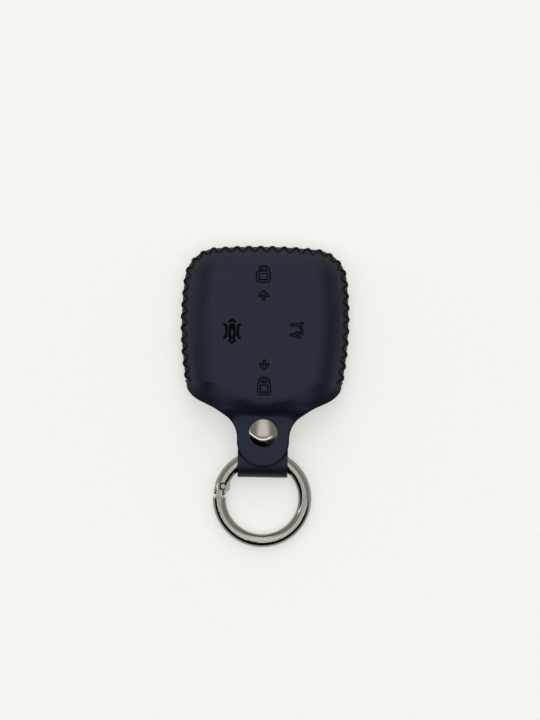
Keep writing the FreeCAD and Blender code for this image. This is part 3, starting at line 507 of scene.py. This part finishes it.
def arc_stroke(centre, radius, start, stop, steps=10):
    angles = np.radians(np.linspace(start, stop, steps + 1))
    return [(centre[0] + radius * math.cos(a), centre[1] + radius * math.sin(a)) for a in angles]


def rounded_box(centre, width, height, radius):
    """A closed stroke round a box with rounded corners."""
    stroke = []
    for quarter, (right, up) in enumerate(((1, 1), (-1, 1), (-1, -1), (1, -1))):
        corner = (centre[0] + right * (width / 2 - radius), centre[1] + up * (height / 2 - radius))
        stroke.extend(arc_stroke(corner, radius, 90 * quarter, 90 * quarter + 90, 4))
    return stroke + stroke[:1]


def padlock(open_lock):
    if open_lock:
        body = rounded_box((0.05, -1.2), 3.7, 2.95, 0.5)
        shackle = [(1.65, 0.2), (1.65, 0.6)] + arc_stroke((0.15, 0.6), 1.5, 0, 135)
    else:
        body = rounded_box((0, -0.85), 3.5, 3.3, 0.4)
        shackle = [(-1.45, 0.9), (-1.45, 1.15)] + arc_stroke((0, 1.15), 1.45, 180, 0) + [(1.45, 0.9)]
    return [body, shackle]


def arrow(up):
    return [[(0, -1.3 * up), (0, 1.1 * up)], [(-1.25, -0.1 * up), (0, 1.15 * up), (1.25, -0.1 * up)]]


def car_above():
    body = [(-0.8, -1.6), (-0.8, 0.9), (-0.5, 2.0), (0, 2.3), (0.5, 2.0), (0.8, 0.9), (0.8, -1.6),
            (0.5, -2.3), (0, -2.5), (-0.5, -2.3), (-0.8, -1.6)]
    strokes = [body, [(-0.1, 1.05), (0.1, 1.05)]]
    for up in (1, -1):
        strokes.append([(-0.95, 3.15 * up), (0, 3.9 * up), (0.95, 3.15 * up)])
    for right in (1, -1):
        strokes.append([(2.65 * right, 2.2), (1.95 * right, 1.8),
                        (1.95 * right, -1.8), (2.65 * right, -2.2)])
    return strokes


def car_open_at_back():
    hatch = [(-1.9, 1.82), (0, 1.9), (1.0, 2.2), (1.7, 2.5)]
    rear = [(0.55, 1.75), (1.33, 0.9), (1.7, -0.1), (1.67, -0.9), (1.33, -1.55), (0.9, -2.0)]
    wheel = arc_stroke((0.2, -1.45), 0.72, 0, 360, 16)
    sill = [(-2.0, -1.6), (-0.6, -1.5)]
    return [hatch, rear, wheel, sill]


# Place, strokes and half-width of a stroke.
SIGNS = (
    ((-0.85, 42.2), padlock(True), 0.56),
    ((-0.65, 34.7), arrow(1), 0.5),
    ((-11.1, 22.35), car_above(), 0.34),
    ((10.9, 22.9), car_open_at_back(), 0.46),
    ((0.0, 11.1), arrow(-1), 0.5),
    ((0.1, 3.95), padlock(False), 0.56),
)
# Every sign lies within its reach. A stroke has a depth, and a wall of some width.
SIGN_REACH = 6.5
PRESS_DEPTH = 0.4
PRESS_WALL = 0.3


def stroke_distance(x, y, strokes):
    best = np.full(x.shape, 9.0)
    for stroke in strokes:
        for (ax, ay), (bx, by) in zip(stroke, stroke[1:]):
            length = max(math.hypot(bx - ax, by - ay), 1e-6)
            along = np.clip(((x - ax) * (bx - ax) + (y - ay) * (by - ay)) / length ** 2, 0, 1)
            best = np.minimum(best, np.hypot(x - ax - along * (bx - ax), y - ay - along * (by - ay)))
    return best


def pressed_signs(x, y):
    """How far each place lies outside the edge of the nearest pressed stroke."""
    outside = np.ones(x.shape)
    for (across, along), strokes, half in SIGNS:
        near = np.flatnonzero(np.hypot(x - across, y - along) < SIGN_REACH)
        distance = stroke_distance(x[near] - across, y[near] - along, strokes) - half
        outside[near] = np.minimum(outside[near], distance)
    return outside


# Seam: the open outline from the right end of the mouth round to the left one.

def seam_arcs():
    low = math.asin((BEND_PLACE - WIDEST_PLACE) / SIDE_RADIUS)
    mirrored_corner = corner_centre * (-1, 1)
    mirrored_side = side_centre * (-1, 1)
    return ((side_centre, SIDE_RADIUS, low, SIDE_JOINT_ANGLE),
            (corner_centre, CORNER_RADIUS, SIDE_JOINT_ANGLE, TOP_JOINT_ANGLE),
            (top_centre, TOP_RADIUS, TOP_JOINT_ANGLE, math.pi - TOP_JOINT_ANGLE),
            (mirrored_corner, CORNER_RADIUS, math.pi - TOP_JOINT_ANGLE, math.pi - SIDE_JOINT_ANGLE),
            (mirrored_side, SIDE_RADIUS, math.pi - SIDE_JOINT_ANGLE, math.pi - low))


ARCS = seam_arcs()
SEAM_LENGTH = sum(radius * (stop - start) for centre, radius, start, stop in ARCS)
STITCHES = round(SEAM_LENGTH / STITCH_PITCH)
STITCH_STEP = SEAM_LENGTH / STITCHES


def seam_place(distance):
    """Point of the seam at a distance along it, and the direction outwards."""
    for centre, radius, start, stop in ARCS:
        length = radius * (stop - start)
        if distance <= length or centre is ARCS[-1][0]:
            angle = start + distance / radius
            outward = np.array([math.cos(angle), math.sin(angle)])
            return centre + radius * outward, outward
        distance -= length


def on_wall(distance, depth, up, height):
    """A place on a skin, up its wall from the seam and at a height off it."""
    point, outward = seam_place(distance)
    inward = depth * math.cos(WALL_SLOPE) - height * math.sin(WALL_SLOPE)
    rise = depth * math.sin(WALL_SLOPE) + height * math.cos(WALL_SLOPE)
    return np.array([*(point - outward * inward), SEAM_HEIGHT + up * rise])


def stitch_dents(places, up):
    """How much the leather is drawn in round the nearest stitch hole, from 0 to 1."""
    depth = np.zeros(len(places))
    for stitch in range(STITCHES + 1):
        hole = on_wall(stitch * STITCH_STEP, STITCH_DEPTH, up, 0)
        distance = np.linalg.norm(places - hole, axis=1)
        depth = np.maximum(depth, 1 - smooth_step(*HOLE_REACH, distance))
    return depth


# Leather: each skin is a grid laid on its outer face, then given its thickness inwards.

# Rows above this one bow out to the closed end.
BOW_START = 37
# Rows of the tongue below its centre bow out to the tip.
TIP_CENTRE = TONGUE_END + TONGUE_HALF
TIP_ROW = TIP_CENTRE - TONGUE_HALF * math.sqrt(0.5)
# Grids across and along the skins, in bands of start, stop and spacing. The front is finer at the
# signs.
FRONT_COLUMNS = ((0, 3, 0.18), (3, 8, 0.62), (8, 14.2, 0.19), (14.2, 24, 0.62), (24, POCKET_HALF, 0.42))
FRONT_ROWS = ((TIP_ROW, 0.5, 0.45), (0.5, 7.4, 0.19), (7.4, 9.1, 0.45), (9.1, 13, 0.19), (13, 18, 0.5),
              (18, 27.6, 0.18), (27.6, 33, 0.5), (33, 37, 0.19), (37, 39, 0.45), (39, 45.8, 0.19),
              (45.8, corner_middle[1], 0.4))
BACK_COLUMNS = ((0, 15, 0.8), (15, POCKET_HALF, 0.44))
# How far the inner edge of a rim may pass its cut.
CUT_SLACK = 0.01


def new_grid(name, columns, rows):
    bpy.ops.object.select_all(action="DESELECT")
    bpy.ops.mesh.primitive_grid_add(x_subdivisions=len(columns) - 1, y_subdivisions=len(rows) - 1, size=2)
    skin = bpy.context.object
    skin.name = skin.data.name = name
    spots = places_of(skin) * MM
    column = np.rint((spots[:, 0] + 1) / 2 * (len(columns) - 1)).astype(int)
    row = np.rint((spots[:, 1] + 1) / 2 * (len(rows) - 1)).astype(int)
    return skin, columns[column], rows[row]


def both_sides(places):
    shares = places / places[-1]
    return np.concatenate([-shares[:0:-1], shares])


def bulged(u, row, round_tip):
    """Rows near the closed end bow out to its edge, and those near a round tip to the tip."""
    top = top_edge(u * corner_middle[0]) - corner_middle[1]
    y = row + top * np.clip((row - BOW_START) / (corner_middle[1] - BOW_START), 0, 1) ** 2
    if not round_tip:
        return y
    tip = TIP_CENTRE - np.sqrt(TONGUE_HALF ** 2 - (u * TONGUE_HALF * math.sqrt(0.5)) ** 2) - TIP_ROW
    return y + tip * np.clip((TIP_CENTRE - row) / (TIP_CENTRE - TIP_ROW), 0, 1) ** 2


def press(skin, depth, **notes):
    """Push the outer face in and note on it what is pressed."""
    set_places(skin, places_of(skin) - normals_of(skin) * depth[:, None])
    for name, values in notes.items():
        attribute = skin.data.attributes.new(name, "FLOAT", "POINT")
        attribute.data.foreach_set("value", values.astype(np.float32))


def thicken(skin):
    skin.data.materials.append(grain_leather)
    skin.data.materials.append(flesh_side)
    skin.data.materials.append(cut_edge)
    modify(skin, "SOLIDIFY", thickness=LEATHER * MM, offset=-1, use_even_offset=True,
           material_offset=1, material_offset_rim=2)


def punch(skin, radius, low, high):
    """Cut the press stud's hole through a skin."""
    bpy.ops.object.select_all(action="DESELECT")
    bpy.ops.mesh.primitive_cylinder_add(vertices=24, radius=radius * MM, depth=(high - low) * MM,
                                        location=(0, SNAP_PLACE * MM, (low + high) / 2 * MM))
    tool = bpy.context.object
    modify(skin, "BOOLEAN", operation="DIFFERENCE", object=tool, solver="EXACT")
    bpy.data.objects.remove(tool)


def ease_edges(skin):
    modify(skin, "BEVEL", width=EDGE_BEVEL * MM, segments=2, limit_method="ANGLE",
           angle_limit=math.radians(70), material=2)
    only(skin)
    bpy.ops.object.shade_smooth_by_angle(angle=math.radians(65))


def corner_lift(x, y):
    """Share by which the lower corners stay up beside the neck, whose middle is drawn down."""
    begins, full, faded = CORNER_ACROSS
    aside = smooth_step(begins, full, np.abs(x)) * (1 - CORNER_FADE * smooth_step(full, faded, np.abs(x)))
    return CORNER_LIFT * aside * smooth_step(*CORNER_ALONG, y) * (1 - smooth_step(0, BEND_PLACE, y))


def make_front_leather():
    skin, u, row = new_grid("front_leather", both_sides(spaced(*FRONT_COLUMNS)), spaced(*FRONT_ROWS))
    x = u * front.half_width(row)
    y = bulged(u, row, True)
    inset = front.edge_inset(x, y)
    free_edge = 1 - smooth_step(BEND_PLACE - 1, BEND_PLACE + 1, y)
    eased_edge = EDGE_DROP * free_edge * (1 - smooth_step(0, EDGE_WIDTH, inset))
    height = front.height(x, y)
    height += corner_lift(x, y) * (FRONT_TOP - height)
    places = np.column_stack([x, y, height - eased_edge])
    set_places(skin, places)
    outside = pressed_signs(x, y)
    dents = stitch_dents(places, 1)
    depth = PRESS_DEPTH * (1 - smooth_step(-PRESS_WALL, 0, outside))
    # Painted shade: the walls near the neck and the stitch holes are darkened and dulled. The dark dye
    # along a free edge is real, and it also paints the shade there.
    wall_shade = (WALL_SHADE - WALL_SHADE_LESS * free_edge) * (1 - smooth_step(*WALL_SHADE_REACH, inset))
    wall_shade *= smooth_step(*WALL_SHADE_ALONG, y)
    edge_dye_and_shade = free_edge * (1 - smooth_step(0.1, EDGE_WIDTH, inset))
    dyed = np.maximum(HOLE_SHADE * dents, np.maximum(wall_shade, edge_dye_and_shade))
    # The line note paints shade along the walls of the pressed strokes.
    press(skin, depth + HOLE_DEPTH * dents, line=EDGE_NOTE + outside, dyed=dyed)
    thicken(skin)
    places = places_of(skin)
    places[:, 2] = np.maximum(places[:, 2], front.cut_height(places[:, 1]) - CUT_SLACK)
    reach = np.where(places[:, 1] > FLARE_PLACE, front.half_width(places[:, 1]), POCKET_HALF)
    places[:, 0] = np.clip(places[:, 0], -reach, reach)
    set_places(skin, places)
    punch(skin, SHANK_HOLE, TONGUE_TOP - 2 * LEATHER, TONGUE_TOP + LEATHER)
    ease_edges(skin)
    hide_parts("front_panel", "front_flap")
    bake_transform(skin)


# Loop of the strap round the ring, from the strap to its folded tip, in Y and Z along the outer face.
LOOP_START = -15.0
LOOP_LOW = 0.1
LOOP_HIGH = 10.2
FOLD_TOP = 6.5
STRAP_TIP = -7.4
LOOP_CORNER = -16.37
LOOP_CROWN = -21.16
SHOULDER_RADIUS = 3.9
FOLD_CENTRE = (-22.6, 5.15)
FOLD_RADIUS = 5.05
PINCH_ANGLE = 52
LOOP_STEP = 0.35
LOOP_EASING = 6
# Rows of the back above its loop.
BACK_ROWS = ((LOOP_START, BEND_PLACE, 0.4), (BEND_PLACE, 40, 0.6), (40, corner_middle[1], 0.35))


def loop_path():
    """Even places along the strap's outer face, with its corners eased."""
    under = [(LOOP_START, STRAP_BOTTOM), (LOOP_CORNER, STRAP_BOTTOM)]
    under += arc_stroke((LOOP_CROWN, LOOP_LOW + SHOULDER_RADIUS), SHOULDER_RADIUS, PINCH_ANGLE - 90, -90)
    under += arc_stroke(FOLD_CENTRE, FOLD_RADIUS, -90, -180)
    over = arc_stroke(FOLD_CENTRE, FOLD_RADIUS, 180, 90)
    over += arc_stroke((LOOP_CROWN, LOOP_HIGH - SHOULDER_RADIUS), SHOULDER_RADIUS, 90, 90 - PINCH_ANGLE)
    over += [(LOOP_CORNER, FOLD_TOP), (STRAP_TIP, FOLD_TOP)]
    route = np.array(under + over[1:])
    steps = np.hypot(*np.diff(route, axis=0).T)
    route = route[np.concatenate([[True], steps > 1e-6])]
    lengths = np.concatenate([[0], np.cumsum(np.hypot(*np.diff(route, axis=0).T))])
    even = np.arange(0, lengths[-1], LOOP_STEP)
    path = np.column_stack([np.interp(even, lengths, route[:, axis]) for axis in (0, 1)])
    for turn in range(LOOP_EASING):
        path[1:-1] = (path[:-2] + 2 * path[1:-1] + path[2:]) / 4
    return path


def make_back_leather():
    path = loop_path()
    skin_rows = spaced(*BACK_ROWS)[::-1]
    numbers = np.arange(len(skin_rows) + len(path) - 1).astype(float)
    skin, u, number = new_grid("back_leather", both_sides(spaced(*BACK_COLUMNS)), numbers)
    number = number.astype(int)
    in_dish = number < len(skin_rows)
    row = skin_rows[np.minimum(number, len(skin_rows) - 1)]
    on_path = path[np.clip(number - len(skin_rows) + 1, 0, len(path) - 1)]
    x = u * np.where(in_dish, back.half_width(row), STRAP_HALF)
    y = bulged(u, row, False)
    height = np.where(in_dish, back.height(x, y), on_path[:, 1])
    places = np.column_stack([x, np.where(in_dish, y, on_path[:, 0]), height])
    set_places(skin, places)
    dents = stitch_dents(places, -1)
    # Painted shade in the stitch holes.
    press(skin, HOLE_DEPTH * dents, dyed=HOLE_SHADE * dents)
    thicken(skin)
    places = places_of(skin)
    capped = np.minimum(places[:, 2], back.cut_height(places[:, 1]) + CUT_SLACK)
    places[:, 2] = np.where(places[:, 1] > NECK_PLACE, capped, places[:, 2])
    set_places(skin, places)
    punch(skin, POST_HOLE, STRAP_BOTTOM - LEATHER, FOLD_TOP + LEATHER)
    ease_edges(skin)
    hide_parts("back_panel", "ring_loop")
    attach(skin, "pocket")


# Stitching: two legs a stitch, each of two plies twisted together.
THREAD_STEP = 0.16
# A heading that no leg of thread takes, to wind the plies from.
ASKEW = (0.31, 0.23, 0.92)


def smooth_path(knots, step):
    """Even places along a smooth line through some knots."""
    knots = np.array(knots)
    padded = np.vstack([2 * knots[0] - knots[1], knots, 2 * knots[-1] - knots[-2]])
    t = np.linspace(0, 1, 8, endpoint=False)[:, None]
    dense = []
    for a, b, c, d in zip(padded, padded[1:], padded[2:], padded[3:]):
        dense.append(0.5 * (2 * b + (c - a) * t + (2 * a - 5 * b + 4 * c - d) * t ** 2
                            + (3 * b - a - 3 * c + d) * t ** 3))
    dense = np.vstack(dense + [knots[-1:]])
    lengths = np.concatenate([[0], np.cumsum(np.linalg.norm(np.diff(dense, axis=0), axis=1))])
    even = np.linspace(0, lengths[-1], max(int(lengths[-1] / step), 4))
    return np.column_stack([np.interp(even, lengths, dense[:, axis]) for axis in range(3)]), even


def twisted(path, lengths):
    """Two plies wound round a path."""
    heading = np.gradient(path, axis=0)
    heading /= np.linalg.norm(heading, axis=1)[:, None]
    side = np.cross(heading, ASKEW)
    side /= np.linalg.norm(side, axis=1)[:, None]
    rise = np.cross(side, heading)
    winding = THREAD_RADIUS - PLY_RADIUS
    for ply in (0, math.pi):
        angle = (2 * math.pi * lengths / PLY_TURN + ply)[:, None]
        yield path + winding * (side * np.cos(angle) + rise * np.sin(angle))


def stitch_leg(start, stop, crossing, height):
    """Knots of a leg from a hole in the front, over the edge, to a hole in the back."""
    lift = THREAD_RADIUS + 0.05
    inside = -0.8

    def part(share):
        return start + (crossing - start) * share

    def far(share):
        return crossing + (stop - crossing) * share

    edge, outward = seam_place(crossing)
    over = np.array([*(edge + outward * lift * 0.5), SEAM_HEIGHT])
    return [on_wall(start, STITCH_DEPTH, 1, inside),
            on_wall(part(0.04), STITCH_DEPTH * 0.98, 1, lift * 0.7),
            on_wall(part(0.5), STITCH_DEPTH * 0.52, 1, lift), over,
            on_wall(far(0.5), STITCH_DEPTH * 0.5, -1, lift + height),
            on_wall(far(0.96), STITCH_DEPTH * 0.98, -1, lift * 0.7),
            on_wall(stop, STITCH_DEPTH, -1, inside)]


def make_edge_stitches():
    spread = 2 * THREAD_RADIUS + 0.06
    legs = []
    for stitch in range(STITCHES):
        start, stop = stitch * STITCH_STEP, (stitch + 1) * STITCH_STEP
        middle = (start + stop) / 2
        legs.append(stitch_leg(start, stop, middle - spread / 2, 0))
        legs.append(stitch_leg(stop, start, middle + spread / 2, spread))
    for end, inward in ((0, 1), (SEAM_LENGTH, -1)):
        legs.append(stitch_leg(end, end, end + 0.1 * inward, 0))
    curve = bpy.data.curves.new("edge_stitches", "CURVE")
    curve.dimensions = "3D"
    curve.bevel_depth = PLY_RADIUS * MM
    curve.bevel_resolution = 1
    for knots in legs:
        for ply in twisted(*smooth_path(knots, THREAD_STEP)):
            spline = curve.splines.new("POLY")
            spline.points.add(len(ply) - 1)
            spline.points.foreach_set("co", np.column_stack([ply * MM, np.ones(len(ply))]).ravel())
    stitches = bpy.data.objects.new("edge_stitches", curve)
    bpy.context.scene.collection.objects.link(stitches)
    only(stitches)
    bpy.ops.object.convert(target="MESH")
    stitches = bpy.context.object
    bpy.ops.object.shade_smooth()
    stitches.data.materials.append(waxed_thread)
    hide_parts("edge_thread")
    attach(stitches, "pocket")


# Cap of the press stud: a spun dome with its edge rolled under, and its shank.
CAP_HEIGHT = 2.0
CAP_DOME = 9.6
CAP_ROLL = 0.75
CAP_RADIUS = 5.0
SHANK_RADIUS = 1.2
SHANK_FOOT = (1.8, 10.0, 9.8)
# Rolled rim of the cap, in from its radius: where it rests and where the hollow begins, and how high
# the hollow is.
RIM_REST = 0.2
RIM_HOLLOW = 0.8
HOLLOW_HEIGHT = 0.3


def cap_section():
    """Half of the cap's section: radius and height from the crown round to the foot of the shank."""
    crown = TONGUE_TOP + CAP_HEIGHT
    roll = np.array([CAP_RADIUS - CAP_ROLL, 0])
    lean = math.asin(roll[0] / (CAP_DOME - CAP_ROLL))
    roll[1] = crown - CAP_DOME + (CAP_DOME - CAP_ROLL) * math.cos(lean)
    section = arc_stroke((0, crown - CAP_DOME), CAP_DOME, 90, 90 - math.degrees(lean), 20)
    section += arc_stroke(roll, CAP_ROLL, 90 - math.degrees(lean), -8, 10)[1:]
    foot_radius, seat, foot = SHANK_FOOT
    hollow = TONGUE_TOP + HOLLOW_HEIGHT
    inside = CAP_RADIUS - RIM_HOLLOW
    section += [(CAP_RADIUS - RIM_REST, TONGUE_TOP), (inside, TONGUE_TOP), (inside, hollow),
                (SHANK_RADIUS, hollow), (SHANK_RADIUS, seat),
                (foot_radius, seat), (foot_radius, foot), (0, foot)]
    return section


def make_cap():
    mesh = bpy.data.meshes.new("cap_dome")
    section = [(across * MM, 0, height * MM) for across, height in cap_section()]
    mesh.from_pydata(section, [(place, place + 1) for place in range(len(section) - 1)], [])
    cap = bpy.data.objects.new("cap_dome", mesh)
    bpy.context.scene.collection.objects.link(cap)
    modify(cap, "SCREW", angle=2 * math.pi, steps=96, render_steps=96, axis="Z", use_merge_vertices=True,
           merge_threshold=MERGE_REACH)
    only(cap)
    bpy.ops.object.mode_set(mode="EDIT")
    bpy.ops.mesh.select_all(action="SELECT")
    bpy.ops.mesh.remove_doubles(threshold=MERGE_REACH)
    bpy.ops.mesh.normals_make_consistent(inside=False)
    bpy.ops.transform.translate(value=(0, SNAP_PLACE * MM, 0))
    bpy.ops.object.mode_set(mode="OBJECT")
    bpy.ops.object.shade_smooth_by_angle(angle=math.radians(40))
    cap.data.materials.append(cap_plate)
    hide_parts("snap_cap")
    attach(cap, "flap")


# Other metal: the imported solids, with their finishes.
FINISHES = {
    "snap_socket": stud_plate,
    "snap_stud": stud_plate,
    "snap_post": stud_plate,
    "snap_spring": spring_steel,
    "ring_body": ring_plate,
    "ring_gate": ring_plate,
    "gate_pin": ring_plate,
    "spring_pusher": spring_steel,
}


def finish_metal():
    for name, finish in FINISHES.items():
        mesh = frame["nodes"][name].data
        mesh.materials.clear()
        mesh.materials.append(finish)


# Coil behind the pusher: the imported one, merged. The real coil shortens as the gate opens; this one keeps
# its length.

def make_coil():
    joint = next(row for row in frame["joints"] if row["name"] == "pusher_slide")
    way = np.array(joint["axis"])
    coil = bpy.data.objects.new("gate_coil", frame["nodes"]["gate_spring"].data.copy())
    coil.data.name = "gate_coil"
    bpy.context.scene.collection.objects.link(coil)
    only(coil)
    bpy.ops.object.mode_set(mode="EDIT")
    bpy.ops.mesh.select_all(action="SELECT")
    bpy.ops.mesh.remove_doubles(threshold=MERGE_REACH)
    bpy.ops.object.mode_set(mode="OBJECT")
    bpy.ops.object.shade_smooth_by_angle(angle=math.radians(50))
    coil.data.materials.clear()
    coil.data.materials.append(spring_steel)
    along = places_of(coil) * MM @ way
    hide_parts("gate_spring")
    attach(coil, "ring")
    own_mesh(coil)


# Floor, light and camera.
VIEW_CENTRE = (1.9, 12.8)
VIEW_HEIGHT = 247.7
VIEW_DISTANCE = 620.0
VIEW_LEVEL = 5.0
VIEW_TURN = math.radians(1.0)
# Pale floor, just under the part, with its size in metres. Where it is seen or mirrored it glows by
# itself as far as its share goes, and takes light and shadow for the rest.
FLOOR_SIZE = 80
FLOOR_LEVEL = -0.1
FLOOR_GLOW = 1.12
FLOOR_SHARE = 0.4
BACKGROUND = 0.88
# Soft sky over a heading. It is dark to the lower left and in front, brightest in a long patch
# overhead, and has one bright bowed band in front.
SHADE_HEADING = (0.5, 0.86, 0.0)
PATCH_SPREAD = (2.4, 0.9, 0.0)
BAND_BOW = -0.62
# What a part of the sky goes by, from where to where, and how bright it is at each.
SKY = {
    "side": ("lean", -0.55, -0.35, 0.04, 1.9),
    "front": ("Y", -0.5, -0.12, 0.04, 1.0),
    "patch": ("spread", 1.4, 0.5, 0.3, 1.0),
    "near": ("bow", -0.41, -0.48, 0.0, 4.5),
    "far": ("bow", -0.53, -0.5, 0.0, 1.0),
    "end": ("X", 0.7, 0.5, 0.0, 1.0),
}


def make_floor():
    bpy.ops.object.select_all(action="DESELECT")
    bpy.ops.mesh.primitive_plane_add(size=FLOOR_SIZE, location=(0, 0, FLOOR_LEVEL * MM))
    floor = bpy.context.object
    floor.name = "floor"
    material, tree, place = new_material("matt_white_paper")
    fibre = add_node(tree, "ShaderNodeTexNoise", {"Vector": place, "Scale": per_mm(3), "Detail": 3.0})
    tone = add_node(tree, "ShaderNodeMix", {"Factor": fibre.outputs["Fac"], "A": colour("#f4f5f3"),
                                            "B": colour("#f8f9f7")}, data_type="RGBA").outputs["Result"]
    paper = add_node(tree, "ShaderNodeBsdfPrincipled", {"Base Color": tone, "Roughness": 0.9})
    glow = add_node(tree, "ShaderNodeEmission", {"Color": tone, "Strength": FLOOR_GLOW})
    path = add_node(tree, "ShaderNodeLightPath", {}).outputs
    seen = path["Is Camera Ray"]
    for ray in ("Is Glossy Ray", "Is Transmission Ray"):
        seen = add_node(tree, "ShaderNodeMath", {0: seen, 1: path[ray]}, operation="ADD").outputs[0]
    share = add_node(tree, "ShaderNodeMath", {0: seen, 1: FLOOR_SHARE}, operation="MULTIPLY")
    shader = add_node(tree, "ShaderNodeMixShader", {
        0: share.outputs[0], 1: paper.outputs[0], 2: glow.outputs[0]})
    close_material(tree, shader)
    floor.data.materials.append(material)


def make_light():
    world = bpy.data.worlds.new("studio")
    bpy.context.scene.world = world
    world.use_nodes = True
    tree = world.node_tree
    tree.nodes.clear()
    heading = add_node(tree, "ShaderNodeTexCoord", {}).outputs["Generated"]
    parts = add_node(tree, "ShaderNodeSeparateXYZ", {0: heading}).outputs
    lean = add_node(tree, "ShaderNodeVectorMath", {0: heading, 1: SHADE_HEADING}, operation="DOT_PRODUCT")
    spread = add_node(tree, "ShaderNodeVectorMath", {0: heading, 1: PATCH_SPREAD}, operation="MULTIPLY")
    spread = add_node(tree, "ShaderNodeVectorMath", {0: spread.outputs[0]}, operation="LENGTH")
    bow = add_node(tree, "ShaderNodeMath", {0: parts["X"], 1: parts["X"]}, operation="MULTIPLY")
    bow = add_node(tree, "ShaderNodeMath", {0: bow.outputs[0], 1: BAND_BOW, 2: parts["Y"]},
                   operation="MULTIPLY_ADD")
    measures = {"X": parts["X"], "Y": parts["Y"], "lean": lean.outputs["Value"],
                "spread": spread.outputs["Value"], "bow": bow.outputs[0]}
    sky = {}
    for name, (measure, start, stop, at_start, at_stop) in SKY.items():
        sky[name] = add_node(tree, "ShaderNodeMapRange", {
            "Value": measures[measure], "From Min": start, "From Max": stop,
            "To Min": at_start, "To Max": at_stop}, interpolation_type="SMOOTHSTEP").outputs["Result"]
    tone = add_node(tree, "ShaderNodeMath", {0: sky["side"], 1: sky["front"]}, operation="MULTIPLY")
    tone = add_node(tree, "ShaderNodeMath", {0: tone.outputs[0], 1: sky["patch"]}, operation="MULTIPLY")
    band = add_node(tree, "ShaderNodeMath", {0: sky["near"], 1: sky["far"]}, operation="MULTIPLY")
    tone = add_node(tree, "ShaderNodeMath", {0: band.outputs[0], 1: sky["end"], 2: tone.outputs[0]},
                    operation="MULTIPLY_ADD")
    seen = add_node(tree, "ShaderNodeLightPath", {}).outputs["Is Camera Ray"]
    tone = add_node(tree, "ShaderNodeMix", {"Factor": seen, "A": tone.outputs[0], "B": BACKGROUND},
                    data_type="FLOAT")
    glow = add_node(tree, "ShaderNodeBackground", {"Color": colour("#fffdf8"), "Strength": tone.outputs[0]})
    add_node(tree, "ShaderNodeOutputWorld", {"Surface": glow.outputs[0]})


def make_camera():
    data = bpy.data.cameras.new("camera")
    camera = bpy.data.objects.new("camera", data)
    bpy.context.scene.collection.objects.link(camera)
    data.sensor_fit = "VERTICAL"
    data.angle = 2 * math.atan(VIEW_HEIGHT / 2 / VIEW_DISTANCE)
    camera.location = (VIEW_CENTRE[0] * MM, VIEW_CENTRE[1] * MM, (VIEW_LEVEL + VIEW_DISTANCE) * MM)
    camera.rotation_euler = (0, 0, VIEW_TURN)
    bpy.context.scene.camera = camera


make_front_leather()
make_back_leather()
make_edge_stitches()
make_cap()
finish_metal()
make_coil()
make_floor()
make_light()
make_camera()
bpy.context.scene.view_settings.view_transform = "Standard"
